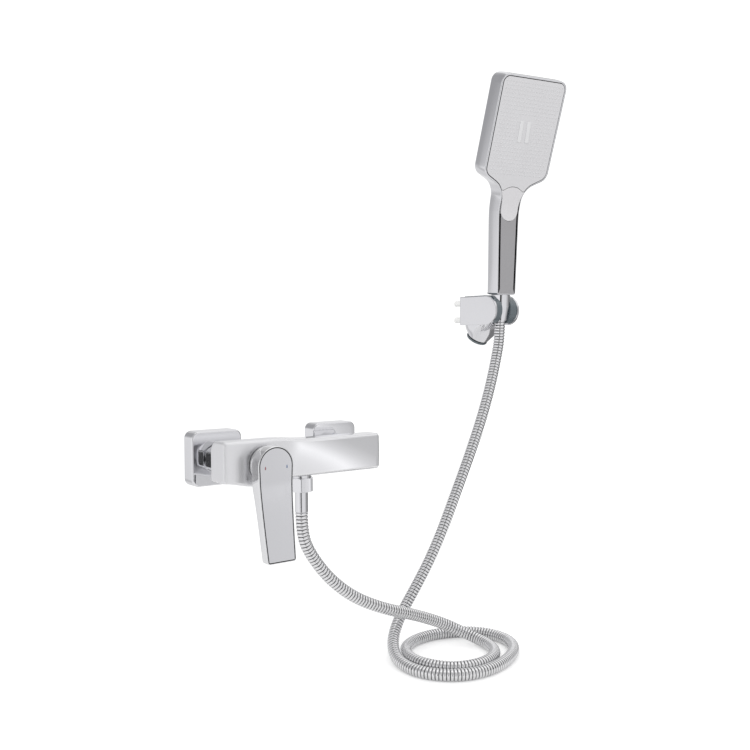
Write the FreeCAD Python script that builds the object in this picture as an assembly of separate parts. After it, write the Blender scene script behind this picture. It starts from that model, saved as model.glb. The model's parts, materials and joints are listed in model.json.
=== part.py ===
import FreeCAD, Part
import math
import os
from FreeCAD import Placement, Rotation, Vector

# A wall-mounted single-lever shower mixer with its ribbed hose, square hand shower and wall bracket,
# in millimetres.  X runs to the right along the wall, Y points into the wall and Z is up.
# The origin lies on the wall, midway between the two wall connectors.

# Water connection on the wall
CONNECTOR_SPACING = 150.0
STUD_RADIUS = 10.48
STUD_LENGTH = 15.0
STUD_BORE = 6.0
ECCENTRICITY = 8.0
SHANK_RADIUS = 13.2
SHANK_BORE = 7.5
COLLAR_DEPTH = 8.0
COLLAR_RADIUS = 12.5
SHANK_END = 30.0
SHANK_FLOOR = 3.0
ROSETTE_SIDE = 58.0
ROSETTE_DEPTH = 19.0
ROSETTE_WALL = 1.2
ROSETTE_CORNER = 8.0
ROSETTE_EDGE = 2.0
ROSETTE_GAP = 0.2
UNION_WASHER = 2.0
UNION_FLANGE = 2.5
UNION_FLANGE_RADIUS = SHANK_RADIUS - 0.5
UNION_SEAL_BORE = 8.0
NIPPLE_RADIUS = 10.8
NIPPLE_THREAD_RADIUS = 9.5
NIPPLE_THREAD_LENGTH = 5.5
NIPPLE_BORE = 6.5
UNION_NUT_WALL = 1.8
UNION_NUT_FLATS = 2 * (SHANK_RADIUS + UNION_NUT_WALL)
UNION_NUT_START = 20.5
UNION_NUT_LIP = 3.8
THREAD_GAP = 0.08
NUT_CROWN = 0.965

# Mixer body
BODY_OVERHANG = 22.0
BODY_LENGTH = CONNECTOR_SPACING + 2 * BODY_OVERHANG
BODY_BACK = 46.0
BODY_FRONT = 75.7
BODY_CROWN = 0.7
BODY_TOP_LEFT = 22.4
BODY_TOP_RIGHT = 19.8
BODY_BOTTOM_END = 19.5
BODY_BOTTOM_DEEP = 25.0
BODY_BOTTOM_RIGHT = 20.0
BODY_STATIONS = 12
BODY_END_ROUND = 1.2
INLET_POCKET_END = 56.0
GALLERY_RADIUS = 2.6
GALLERY_DEPTH = 52.2
OUTLET_X = 2.0
OUTLET_Y = -62.0
OUTLET_BORE = 5.0

# Cartridge, on an axis square to the wall
CARTRIDGE_X = -50.0
CARTRIDGE_Z = ECCENTRICITY - 2.5
HOUSING_RADIUS = 14.0
CHAMBER_GAP = 0.15
CHAMBER_RADIUS = HOUSING_RADIUS + CHAMBER_GAP
CHAMBER_FLOOR = 57.0
COUNTERBORE_FLOOR = 70.8
CHAMBER_STEP = 1.95
COUNTERBORE_RADIUS = CHAMBER_RADIUS + CHAMBER_STEP
HOUSING_WALL = 2.0
HOUSING_BORE = HOUSING_RADIUS - HOUSING_WALL
HOUSING_NECK_RADIUS = HOUSING_RADIUS - 1.8
BASE_THICKNESS = 2.2
DISC_FIT = 0.1
FIXED_DISC_RADIUS = HOUSING_BORE - DISC_FIT
FIXED_DISC_THICKNESS = 1.8
MOVING_DISC_RADIUS = 8.0
MOVING_DISC_THICKNESS = 1.8
DISC_GAP = 0.05
CARRIER_RADIUS = 8.6
CARRIER_THICKNESS = 4.0
PORT_DROP = 4.0
PORT_SPREAD = 5.2
PORT_RADIUS = 2.2
OUTLET_PORT_RISE = 4.6
SEAL_RADIUS = 3.6
SEAL_DEPTH = 1.5
ROTOR_RADIUS = HOUSING_NECK_RADIUS - 1.9
ROTOR_FLANGE_RADIUS = HOUSING_BORE - 0.4
ROTOR_FLANGE = 1.7
ROTOR_FRONT = 80.5
ROTOR_GAP = 0.06
ROTOR_RUN = 0.3
ROTOR_SLOT_HEIGHT = 13.0
ROTOR_SLOT_DROP = 5.2
FLANGE_GAP = 0.1
HOUSING_PROUD = 0.2
HOUSING_LOW = 1.5
HOLLOW_RADIUS = 4.6
HOLLOW_RISE = 1.2
HOLLOW_DEPTH = 0.9
PIVOT_DEPTH = 70.8
PIN_RADIUS = 1.4
PIN_INSET = 3.5
PIN_LENGTH = 2 * (HOUSING_BORE - PIN_INSET)
STEM_SQUARE = 7.0
STEM_GAP = 0.1
STEM_FRONT = 92.0
BALL_RADIUS = 2.0
BALL_NECK = 1.3
BALL_ARM = 5.6
NUT_FRONT = 77.0
NUT_BORE = HOUSING_NECK_RADIUS + 0.2
NOTCH_WIDTH = 4.0
NOTCH_DEPTH = 1.5
NOTCH_HEIGHT = 3.0
DOME_RADIUS = COUNTERBORE_RADIUS + 3.7
DOME_SHOULDER = DOME_RADIUS - 0.8
DOME_TOP_RADIUS = 15.0
DOME_FRONT = 82.3
DOME_WALL = 1.2
DOME_HOLE = ROTOR_RADIUS + 0.7

# Lever
LEVER_WALL = 2.5
LEVER_CAVITY_RADIUS = DOME_RADIUS - 2.0
LEVER_RADIUS = LEVER_CAVITY_RADIUS + LEVER_WALL
LEVER_TIP_HALF = 16.7
LEVER_LENGTH = 96.0
LEVER_CORNER = 3.0
LEVER_FRONT = 97.6
LEVER_TIP_FRONT = 108.4
LEVER_RIM = 83.0
LEVER_RIM_TOP = 84.6
LEVER_TIP_BACK = 98.9
LEVER_KNEE = 17.5
LEVER_BELLY = 4.5
LEVER_BELLY_DROP = 39.0
LEVER_HEEL = 22.5
LEVER_BACK_MIDDLE = 47.5
LEVER_BACK_RISE = 7.6
LEVER_CAVITY_FLOOR = 92.5
LEVER_BOSS_RADIUS = 7.5
LEVER_BOSS_END = 86.5
PLATE_INSET = 1.2
PLATE_SEAM = 0.3
PLATE_POCKET = 2.0
PLATE_THICKNESS = 1.9
MARK_SPREAD = 12.5
MARK_DROP = 1.0
MARK_WIDTH = 1.2
MARK_HEIGHT = 3.5
MARK_DEPTH = 0.4
GRUB_RADIUS = 2.4
GRUB_LENGTH = 4.2
GRUB_DEPTH = 90.5
GRUB_TILT = 13.0

# Hose outlet and hose ends
HOSE_CREST = 6.75
LINER_RADIUS = 5.0
LINER_BORE = 4.0
OUTLET_THREAD_RADIUS = 10.4
OUTLET_NIPPLE_LENGTH = 11.0
OUTLET_SCREW_RADIUS = 8.5
OUTLET_SCREW_LENGTH = 9.0
OUTLET_NIPPLE_BORE = 6.3
CHECK_VALVE_RADIUS = 6.2
CHECK_VALVE_LENGTH = 14.0
HOSE_NUT_FLATS = 24.0
HOSE_NUT_TOP = 2.5
HOSE_NUT_LENGTH = 15.0
HOSE_NUT_BORE = OUTLET_THREAD_RADIUS + 0.2
HOSE_WASHER = 2.0
TAIL_FLANGE = 2.5
TAIL_RADIUS_LOWER = OUTLET_THREAD_RADIUS - 0.5
FERRULE_RADIUS = HOSE_CREST + 0.25
TAIL_NECK_RADIUS = FERRULE_RADIUS - 0.2
TAIL_BORE = 3.0
TAIL_BARB_RADIUS = LINER_BORE - 0.05
TAIL_NECK_LOWER = 2.5
TAIL_NECK_UPPER = 1.8
TAIL_BARB_LENGTH = 10.0
FERRULE_BORE = LINER_RADIUS + 0.2
FERRULE_LENGTH = 22.0
NECK_GAP = 0.15

# Hose
RIB_HEIGHT = 0.8
HOSE_VALLEY = HOSE_CREST - RIB_HEIGHT
HOSE_BORE = LINER_RADIUS + 0.3
HOSE_RIBS = 200
FLOOR_LEVEL = -224.3
END_RUN = 22.0

# Hand shower, in its own frame: Z up the handle, -Y towards the spray
SEAT_POINT = Vector(307.9, -54.0, 180.7 + ECCENTRICITY)
LEAN_FORWARD = 2.87
LEAN_SIDE = -0.69
TURN_IN_SEAT = -9.6
HANDLE_DEPTH = 25.0
HANDLE_WIDTH_BOTTOM = 27.7
HANDLE_WIDTH_TOP = 31.1
HANDLE_CORNER = 5.0
HANDLE_TOP = 110.0
HANDLE_FLOOR = 4.2
HANDLE_BEND = 104.4
FACE_START = Vector(0.0, -8.3, 91.2)
FACE_TILT = 17.6
HEAD_WIDTH = 95.2
HEAD_TOP = 174.4
HEAD_THICKNESS = 27.6
HEAD_CORNER = 11.0
HEAD_START = 8.0
NECK_HALF = 15.6
SHOULDER_LOW = 40.6
SHOULDER_HIGH = 56.2
NECK_ROUND = 23.0
SHOULDER_ROUND = 14.0
SHELL_WALL = 2.2
FACE_SEAM = 0.3
FACE_INSET = 1.0
FACE_LOW = 44.0
FACE_THICKNESS = 2.4
MAT_THICKNESS = 1.6
MAT_LOW = 52.0
MAT_GAP = 0.4
CHAMBER_HEIGHT = 9.0
CHAMBER_WALL = 2.0
CHAMBER_COVER = 1.6
NOZZLE_PITCH = 9.0
NOZZLE_RADIUS = 1.1
NOZZLE_PROUD = 0.5
NOZZLE_GAP = 0.12
NOZZLE_COLUMNS = 9
NOZZLE_ROWS = 12
SLOT_WIDTH = 5.2
SLOT_HEIGHT = 25.6
SLOT_SPREAD = 10.4
SLOT_CENTRE = 110.0
SLOT_SLANT = 3.0
SLOT_PROUD = 0.8
BUTTON_HALF = 12.6
BUTTON_TOP = 43.4
BUTTON_BOTTOM = 93.0
BUTTON_THICKNESS = 3.2
BUTTON_PROUD = 0.6
BUTTON_GAP = 0.35
BUTTON_MIDDLE = 22.0
GRIP_INSET = 1.3
GRIP_THICKNESS = 2.0
GRIP_BOTTOM = 1.0
TUBE_RADIUS = 6.0
TUBE_WALL = 1.2
TUBE_SHIFT = 3.0
TUBE_GAP = 0.4
SPRING_LENGTH = 5.2
SPRING_RADIUS = 3.2
SPRING_WIRE = 0.7
VALVE_RADIUS = 9.0
VALVE_LENGTH = 9.6
SPIGOT_RADIUS = 10.2
SPIGOT_LENGTH = 10.0
SPIGOT_BORE = 6.6
TAIL_RADIUS_UPPER = SPIGOT_RADIUS - 0.3

# Cone nut that seats in the bracket
CONE_WALL = 1.5
CONE_RADIUS = SPIGOT_RADIUS + 0.1 + CONE_WALL
CONE_STRAIGHT = 14.8
CONE_LENGTH = 33.0
CONE_TIP_WALL = 1.2
CONE_TIP_RADIUS = FERRULE_RADIUS + 0.2 + CONE_TIP_WALL
CONE_BORE = SPIGOT_RADIUS + 0.1
CONE_NECK_BORE = FERRULE_RADIUS + 0.2
CONE_GAP = 0.3

# Wall bracket
BRACKET_LEFT = 286.7
BRACKET_WIDTH = 42.7
BRACKET_TOP = 178.9 + ECCENTRICITY
BRACKET_LINER_TOP = 179.8 + ECCENTRICITY
BRACKET_BOTTOM = 142.6 + ECCENTRICITY
BRACKET_FRONT = 65.5
WALL_PLATE = 5.8
PLATE_CORNER = 4.0
CHEEK = 1.6
LINER_GAP = 0.15
HOSE_SLOT = 2 * FERRULE_RADIUS + 1.6
BACK_WEB = 2.2
CHIN_SHARE = 0.6
HEAD_SINK = 0.6
HEAD_HEIGHT = 2.6
SCREW_SHORT = 2.0
REAR_SEAT_TOP = Vector(308.05, -31.0, BRACKET_LINER_TOP)
REAR_SEAT_BOTTOM = Vector(308.05, -21.0, 127.0 + ECCENTRICITY)
REAR_SEAT_TOP_RADIUS = 10.2
REAR_SEAT_LOW_RADIUS = 8.6
CHIN_RADIUS = 18.6
CHIN_WALL = 1.6
COLLAR_DROP = 5.5
COLLAR_TIP_RADIUS = 13.0
SCREW_RADIUS = 2.0
SCREW_HEAD_RADIUS = 3.9
SCREW_LENGTH = 30.0
SCREW_SPACING = 22.0
ANCHOR_GAP = 0.02
ANCHOR_RADIUS = 4.0

# Places worked out from the sizes above
LEFT_X = -CONNECTOR_SPACING / 2
RIGHT_X = CONNECTOR_SPACING / 2
AXIS_Z = ECCENTRICITY
OUTLET_Z = AXIS_Z - BODY_BOTTOM_RIGHT
BASE_FRONT = CHAMBER_FLOOR + BASE_THICKNESS
FIXED_DISC_FRONT = BASE_FRONT + FIXED_DISC_THICKNESS
MOVING_DISC_BACK = FIXED_DISC_FRONT + DISC_GAP
MOVING_DISC_FRONT = MOVING_DISC_BACK + MOVING_DISC_THICKNESS
CARRIER_FRONT = MOVING_DISC_FRONT + CARRIER_THICKNESS
ROTOR_BACK = CARRIER_FRONT + ROTOR_RUN
ROTOR_STEP = ROTOR_BACK + ROTOR_FLANGE
HOUSING_STEP = ROTOR_STEP + FLANGE_GAP
HOUSING_SHOULDER = COUNTERBORE_FLOOR + HOUSING_PROUD
HOUSING_FRONT = ROTOR_FRONT - HOUSING_LOW
BALL_DEPTH = PIVOT_DEPTH - BALL_ARM
CENTRE = Vector(CARTRIDGE_X, 0, CARTRIDGE_Z)
TOWARDS_ROOM = Vector(0, -1, 0)
HAND_TURN = (Rotation(Vector(0, 1, 0), LEAN_SIDE)
             * Rotation(Vector(1, 0, 0), LEAN_FORWARD)
             * Rotation(Vector(0, 0, 1), TURN_IN_SEAT))
HAND_PLACE = Placement(SEAT_POINT, HAND_TURN)
SEAT_AXIS = HAND_TURN.multVec(Vector(0, 0, 1))
TAIL_TOP = OUTLET_Z - OUTLET_NIPPLE_LENGTH - HOSE_WASHER
FERRULE_TOP = TAIL_TOP - TAIL_FLANGE - TAIL_NECK_LOWER
HOSE_START = Vector(OUTLET_X, OUTLET_Y, FERRULE_TOP - FERRULE_LENGTH)
CONE_WASHER_TOP = -SPIGOT_LENGTH - 0.1
CONE_TAIL_TOP = CONE_WASHER_TOP - HOSE_WASHER
UPPER_FERRULE_TOP = CONE_TAIL_TOP - TAIL_FLANGE - TAIL_NECK_UPPER
UPPER_FERRULE_LENGTH = CONE_LENGTH + 2.0 + UPPER_FERRULE_TOP
HOSE_END = SEAT_POINT + SEAT_AXIS * (UPPER_FERRULE_TOP - UPPER_FERRULE_LENGTH)


def rod(start, direction, radius, length):
    """A round bar from a start point along a direction."""
    return Part.makeCylinder(radius, length, start, direction)


def rod_out(x, z, radius, depth_from, depth_to):
    """A round bar square to the wall, between two depths in front of it."""
    return rod(Vector(x, -depth_from, z), TOWARDS_ROOM, radius, depth_to - depth_from)


def rod_down(x, y, top, radius, length):
    """A round bar that hangs down from a height."""
    return rod(Vector(x, y, top), Vector(0, 0, -1), radius, length)


def sleeve_out(x, z, outer, inner, depth_from, depth_to):
    """A tube square to the wall, between two depths."""
    return rod_out(x, z, outer, depth_from, depth_to).cut(
        rod_out(x, z, inner, depth_from - 1, depth_to + 1))


def sleeve_down(x, y, top, outer, inner, length):
    """A tube that hangs down from a height."""
    return rod_down(x, y, top, outer, length).cut(rod_down(x, y, top + 1, inner, length + 2))


def hexagon(start, direction, flats, length):
    """A hexagonal bar; its corners point along the first cross axis of the direction."""
    corner = flats / math.sqrt(3)
    side = Vector(1, 0, 0)
    if abs(direction.x) > 0.9:
        side = Vector(0, 0, 1)
    other = direction.cross(side)
    points = []
    for step in range(7):
        angle = math.radians(60 * step)
        points.append(start + side * (corner * math.cos(angle)) + other * (corner * math.sin(angle)))
    bar = Part.Face(Part.makePolygon(points)).extrude(direction * length)
    crown = rod(start, direction, corner * NUT_CROWN, length)
    return bar.common(crown)


def outline(corners, place):
    """A closed wire of straight sides and tangent corner arcs.

    Each corner is (a, b, radius) in a plane, and place turns a plane point into a space point."""
    count = len(corners)
    edges = []
    ends = []
    for index in range(count):
        a, b, radius = corners[index]
        before = corners[index - 1]
        after = corners[(index + 1) % count]
        back = Vector(before[0] - a, before[1] - b, 0).normalize()
        ahead = Vector(after[0] - a, after[1] - b, 0).normalize()
        here = Vector(a, b, 0)
        half = math.acos(max(-1.0, min(1.0, back.dot(ahead)))) / 2
        reach = radius / math.tan(half)
        middle = here + (back + ahead).normalize() * (radius / math.sin(half) - radius)
        ends.append((here + back * reach, middle, here + ahead * reach, radius))
    for index in range(count):
        start, middle, end, radius = ends[index]
        if radius > 0:
            edges.append(Part.Arc(place(start.x, start.y), place(middle.x, middle.y),
                                  place(end.x, end.y)).toShape())
        following = ends[(index + 1) % count][0]
        if end.distanceToPoint(following) > 1e-6:
            edges.append(Part.LineSegment(place(end.x, end.y),
                                          place(following.x, following.y)).toShape())
    return Part.Wire(edges)


def prism(corners, place, push):
    """The outline pushed along a vector."""
    return Part.Face(outline(corners, place)).extrude(push)


def rounded_box(low, high, radius, axis):
    """A box whose four edges along one axis are rounded."""
    size = high - low
    box = Part.makeBox(size.x, size.y, size.z, low)
    edges = []
    for edge in box.Edges:
        run = edge.Vertexes[1].Point - edge.Vertexes[0].Point
        if abs(abs(run.normalize().dot(axis)) - 1) < 1e-6:
            edges.append(edge)
    return box.makeFillet(radius, edges)


def turned(profile, centre, direction):
    """A solid of revolution: the profile is (radius, distance along the direction) points."""
    points = []
    for radius, along in profile:
        points.append(Vector(radius, 0, along))
    points.append(points[0])
    solid = Part.Face(Part.makePolygon(points)).revolve(Vector(0, 0, 0), Vector(0, 0, 1), 360)
    solid.Placement = Placement(centre, Rotation(Vector(0, 0, 1), direction))
    return solid


def ease(value):
    """A smooth step from 0 to 1."""
    value = max(0.0, min(1.0, value))
    return value * value * (3 - 2 * value)


def save(shape, name):
    """Writes one named piece."""
    shape.exportStep("parts/" + name + ".step")


def eccentric_union(x):
    """Wall connector whose room-side thread sits above its wall-side thread."""
    collar_wall = rod_out(x, 0, COLLAR_RADIUS, 0, COLLAR_DEPTH)
    collar_room = rod_out(x, AXIS_Z, SHANK_RADIUS, 0, COLLAR_DEPTH)
    web = Part.makeBox(2 * COLLAR_RADIUS, COLLAR_DEPTH, AXIS_Z,
                       Vector(x - COLLAR_RADIUS, -COLLAR_DEPTH, 0))
    stud = rod_out(x, 0, STUD_RADIUS, -STUD_LENGTH, COLLAR_DEPTH / 2)
    shank = rod_out(x, AXIS_Z, SHANK_RADIUS, COLLAR_DEPTH / 2, SHANK_END)
    solid = collar_wall.fuse([collar_room, web, stud, shank]).removeSplitter()
    wall_bore = rod_out(x, 0, STUD_BORE, -STUD_LENGTH - 1, COLLAR_DEPTH - 2)
    room_bore = rod_out(x, AXIS_Z, SHANK_BORE, SHANK_FLOOR, SHANK_END + 1)
    return solid.cut(wall_bore).cut(room_bore)


def rosette(x):
    """Square cover plate over the wall connector."""
    half = ROSETTE_SIDE / 2
    inner = half - ROSETTE_WALL
    outer_box = rounded_box(Vector(x - half, -ROSETTE_DEPTH, AXIS_Z - half),
                            Vector(x + half, 0, AXIS_Z + half), ROSETTE_CORNER, Vector(0, 1, 0))
    front_edges = []
    for edge in outer_box.Edges:
        if edge.BoundBox.YMax < -ROSETTE_DEPTH + 1e-3:
            front_edges.append(edge)
    outer_box = outer_box.makeFillet(ROSETTE_EDGE, front_edges)
    inner_box = rounded_box(Vector(x - inner, -ROSETTE_DEPTH + ROSETTE_WALL, AXIS_Z - inner),
                            Vector(x + inner, 1, AXIS_Z + inner),
                            ROSETTE_CORNER - ROSETTE_WALL, Vector(0, 1, 0))
    hole = rod_out(x, AXIS_Z, SHANK_RADIUS + ROSETTE_GAP, ROSETTE_DEPTH - 5, ROSETTE_DEPTH + 1)
    return outer_box.cut(inner_box).cut(hole)


def union_washer(x):
    """Flat sealing ring between the wall connector and the inlet nipple."""
    return sleeve_out(x, AXIS_Z, UNION_FLANGE_RADIUS - 0.2, UNION_SEAL_BORE,
                      SHANK_END, SHANK_END + UNION_WASHER)


def inlet_nipple(x):
    """Flanged nipple that the union nut pulls against the wall connector."""
    flange_start = SHANK_END + UNION_WASHER
    flange = rod_out(x, AXIS_Z, UNION_FLANGE_RADIUS, flange_start, flange_start + UNION_FLANGE)
    neck = rod_out(x, AXIS_Z, NIPPLE_RADIUS, flange_start, BODY_BACK)
    thread = rod_out(x, AXIS_Z, NIPPLE_THREAD_RADIUS, flange_start, BODY_BACK + NIPPLE_THREAD_LENGTH)
    bore = rod_out(x, AXIS_Z, NIPPLE_BORE, flange_start - 1, BODY_BACK + NIPPLE_THREAD_LENGTH + 1)
    return flange.fuse([neck, thread]).removeSplitter().cut(bore)


def union_nut(x):
    """Hexagonal nut, captive behind the nipple's flange."""
    shoulder = SHANK_END + UNION_WASHER + UNION_FLANGE + THREAD_GAP
    end = shoulder + UNION_NUT_LIP
    body = hexagon(Vector(x, -UNION_NUT_START, AXIS_Z), TOWARDS_ROOM, UNION_NUT_FLATS,
                   end - UNION_NUT_START)
    thread = rod_out(x, AXIS_Z, SHANK_RADIUS + THREAD_GAP, UNION_NUT_START - 1, shoulder)
    hole = rod_out(x, AXIS_Z, NIPPLE_RADIUS + THREAD_GAP, shoulder - 1, end + 1)
    return body.cut(thread).cut(hole)


def body_section(x, inset):
    """The corners of the mixer body's cross-section at a place along it."""
    top = BODY_TOP_LEFT - (BODY_TOP_LEFT - BODY_TOP_RIGHT) * ease((x + 40) / 50)
    if x < -50:
        drop = BODY_BOTTOM_DEEP - BODY_BOTTOM_END
        bottom = BODY_BOTTOM_DEEP - drop * ease((-60 - x) / 37)
    else:
        bottom = BODY_BOTTOM_DEEP - (BODY_BOTTOM_DEEP - BODY_BOTTOM_RIGHT) * ease((x + 40) / 26)
    back = -BODY_BACK - inset
    front = -BODY_FRONT + inset
    crown = front - BODY_CROWN
    high = AXIS_Z + top - inset
    low = AXIS_Z - bottom + inset
    return [(back, low, 2.5), (back, high, 11.0), (front, high, 9.0),
            (crown, AXIS_Z, 90.0), (front, low, 5.0)]


def body_wire(x, inset):
    """The section as a wire."""
    return outline(body_section(x, inset), lambda a, b: Vector(x, a, b))


def mixer_body():
    """Cast body with its two inlet pockets, the cartridge chamber and the water galleries."""
    half = BODY_LENGTH / 2
    wires = []
    for station in range(BODY_STATIONS + 1):
        share = station / BODY_STATIONS
        wires.append(body_wire((BODY_END_ROUND - half) * (1 - 2 * share), 0))
    solid = Part.makeLoft(wires, True, False)
    caps = []
    for side in (-1, 1):
        inner_end = side * (half - BODY_END_ROUND)
        rings = [body_wire(inner_end, 0),
                 body_wire(side * (half - 0.3 * BODY_END_ROUND), 0.35 * BODY_END_ROUND),
                 body_wire(side * half, BODY_END_ROUND)]
        caps.append(Part.makeLoft(rings, True, True))
    solid = solid.fuse(caps)
    inlets = []
    for x in (LEFT_X, RIGHT_X):
        inlets.append(rod_out(x, AXIS_Z, NIPPLE_THREAD_RADIUS + THREAD_GAP, BODY_BACK - 2,
                              BODY_BACK + NIPPLE_THREAD_LENGTH + THREAD_GAP))
        inlets.append(rod_out(x, AXIS_Z, NIPPLE_BORE, BODY_BACK, INLET_POCKET_END))
    low_port = CARTRIDGE_Z - PORT_DROP
    high_port = CARTRIDGE_Z + OUTLET_PORT_RISE
    along = Vector(1, 0, 0)
    galleries = []
    for start, end, height in ((LEFT_X, CARTRIDGE_X - PORT_SPREAD, low_port),
                               (CARTRIDGE_X + PORT_SPREAD, RIGHT_X, low_port),
                               (CARTRIDGE_X, OUTLET_X, high_port)):
        galleries.append(rod(Vector(start, -GALLERY_DEPTH, height), along, GALLERY_RADIUS, end - start))
    for x, height in ((CARTRIDGE_X - PORT_SPREAD, low_port), (CARTRIDGE_X + PORT_SPREAD, low_port),
                      (CARTRIDGE_X, high_port)):
        galleries.append(rod_out(x, height, PORT_RADIUS, GALLERY_DEPTH, CHAMBER_FLOOR + 0.5))
    galleries.append(rod_out(OUTLET_X, high_port, GALLERY_RADIUS, GALLERY_DEPTH, -OUTLET_Y))
    outlet_top = high_port + OUTLET_BORE
    outlet = rod_down(OUTLET_X, OUTLET_Y, outlet_top, OUTLET_BORE, outlet_top - OUTLET_Z + 1)
    outlet_screw = rod_down(OUTLET_X, OUTLET_Y, OUTLET_Z + OUTLET_SCREW_LENGTH + THREAD_GAP,
                            OUTLET_SCREW_RADIUS + THREAD_GAP, OUTLET_SCREW_LENGTH + 3)
    outlet_face = rod_down(OUTLET_X, OUTLET_Y, OUTLET_Z, OUTLET_THREAD_RADIUS + 0.2, 3)
    chamber = rod_out(CARTRIDGE_X, CARTRIDGE_Z, CHAMBER_RADIUS, CHAMBER_FLOOR, BODY_FRONT + 5)
    counterbore = rod_out(CARTRIDGE_X, CARTRIDGE_Z, COUNTERBORE_RADIUS, COUNTERBORE_FLOOR,
                          BODY_FRONT + 5)
    spot_face = rod_out(CARTRIDGE_X, CARTRIDGE_Z, DOME_RADIUS + 0.3, BODY_FRONT, BODY_FRONT + 5)
    cuts = inlets + galleries + [outlet, outlet_screw, outlet_face, chamber, counterbore, spot_face]
    return solid.cut(cuts)


def cartridge_ports():
    """Where the two inlets and the outlet pass through the cartridge: (x, z)."""
    return ((CARTRIDGE_X - PORT_SPREAD, CARTRIDGE_Z - PORT_DROP),
            (CARTRIDGE_X + PORT_SPREAD, CARTRIDGE_Z - PORT_DROP),
            (CARTRIDGE_X, CARTRIDGE_Z + OUTLET_PORT_RISE))


def cartridge_base():
    """Bottom plate of the cartridge with its three ports and the seats of their seals."""
    plate = rod_out(CARTRIDGE_X, CARTRIDGE_Z, HOUSING_RADIUS, CHAMBER_FLOOR + 0.1, BASE_FRONT)
    cuts = []
    for x, z in cartridge_ports():
        cuts.append(rod_out(x, z, PORT_RADIUS, CHAMBER_FLOOR, BASE_FRONT + 1))
        cuts.append(rod_out(x, z, SEAL_RADIUS, CHAMBER_FLOOR, CHAMBER_FLOOR + SEAL_DEPTH))
    return plate.cut(cuts)


def cartridge_seals():
    """Three rubber rings between the cartridge and the chamber floor."""
    rings = []
    for x, z in cartridge_ports():
        rings.append(sleeve_out(x, z, SEAL_RADIUS - 0.05, PORT_RADIUS + 0.1,
                                CHAMBER_FLOOR, CHAMBER_FLOOR + SEAL_DEPTH))
    return Part.makeCompound(rings)


def fixed_disc():
    """Ceramic disc with three openings, still in the housing."""
    disc = rod_out(CARTRIDGE_X, CARTRIDGE_Z, FIXED_DISC_RADIUS, BASE_FRONT, FIXED_DISC_FRONT)
    cuts = []
    for x, z in cartridge_ports():
        cuts.append(rod_out(x, z, PORT_RADIUS - 0.2, BASE_FRONT - 1, FIXED_DISC_FRONT + 1))
    return disc.cut(cuts)


def moving_disc():
    """Ceramic disc with a mixing hollow, which slides and turns on the fixed one."""
    disc = rod_out(CARTRIDGE_X, CARTRIDGE_Z, MOVING_DISC_RADIUS, MOVING_DISC_BACK, MOVING_DISC_FRONT)
    hollow = rod_out(CARTRIDGE_X, CARTRIDGE_Z + HOLLOW_RISE, HOLLOW_RADIUS, MOVING_DISC_BACK - 1,
                     MOVING_DISC_BACK + HOLLOW_DEPTH)
    return disc.cut(hollow)


def disc_carrier():
    """Plastic carrier on the moving disc, with the pocket of the stem's ball."""
    carrier = rod_out(CARTRIDGE_X, CARTRIDGE_Z, CARRIER_RADIUS, MOVING_DISC_FRONT, CARRIER_FRONT)
    pocket = rod_out(CARTRIDGE_X, CARTRIDGE_Z, BALL_RADIUS + STEM_GAP,
                     BALL_DEPTH - BALL_RADIUS - STEM_GAP, CARRIER_FRONT + 1)
    return carrier.cut(pocket)


def cartridge_housing():
    """Plastic sleeve that holds discs and rotor in the chamber."""
    body = rod_out(CARTRIDGE_X, CARTRIDGE_Z, HOUSING_RADIUS, BASE_FRONT, HOUSING_SHOULDER)
    neck = rod_out(CARTRIDGE_X, CARTRIDGE_Z, HOUSING_NECK_RADIUS, BASE_FRONT, HOUSING_FRONT)
    wide = rod_out(CARTRIDGE_X, CARTRIDGE_Z, HOUSING_BORE, BASE_FRONT - 1, HOUSING_STEP)
    narrow = rod_out(CARTRIDGE_X, CARTRIDGE_Z, ROTOR_RADIUS + ROTOR_GAP, HOUSING_STEP - 1,
                     HOUSING_FRONT + 1)
    return body.fuse(neck).removeSplitter().cut([wide, narrow])


def cartridge_rotor():
    """Turns in the housing with the lever; a slot through it lets the stem rock."""
    body = rod_out(CARTRIDGE_X, CARTRIDGE_Z, ROTOR_RADIUS, ROTOR_BACK, ROTOR_FRONT)
    flange = rod_out(CARTRIDGE_X, CARTRIDGE_Z, ROTOR_FLANGE_RADIUS, ROTOR_BACK, ROTOR_STEP)
    slot_width = STEM_SQUARE + 2 * STEM_GAP
    slot = Part.makeBox(slot_width, ROTOR_FRONT - ROTOR_BACK + 2, ROTOR_SLOT_HEIGHT,
                        Vector(CARTRIDGE_X - slot_width / 2, -ROTOR_FRONT - 1,
                               CARTRIDGE_Z - ROTOR_SLOT_DROP))
    pin_hole = rod(Vector(CARTRIDGE_X - 20, -PIVOT_DEPTH, CARTRIDGE_Z), Vector(1, 0, 0), PIN_RADIUS, 40)
    return body.fuse(flange).removeSplitter().cut([slot, pin_hole])


def pivot_pin():
    """Steel pin through rotor and stem."""
    return rod(Vector(CARTRIDGE_X - PIN_LENGTH / 2, -PIVOT_DEPTH, CARTRIDGE_Z), Vector(1, 0, 0),
               PIN_RADIUS, PIN_LENGTH)


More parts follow.
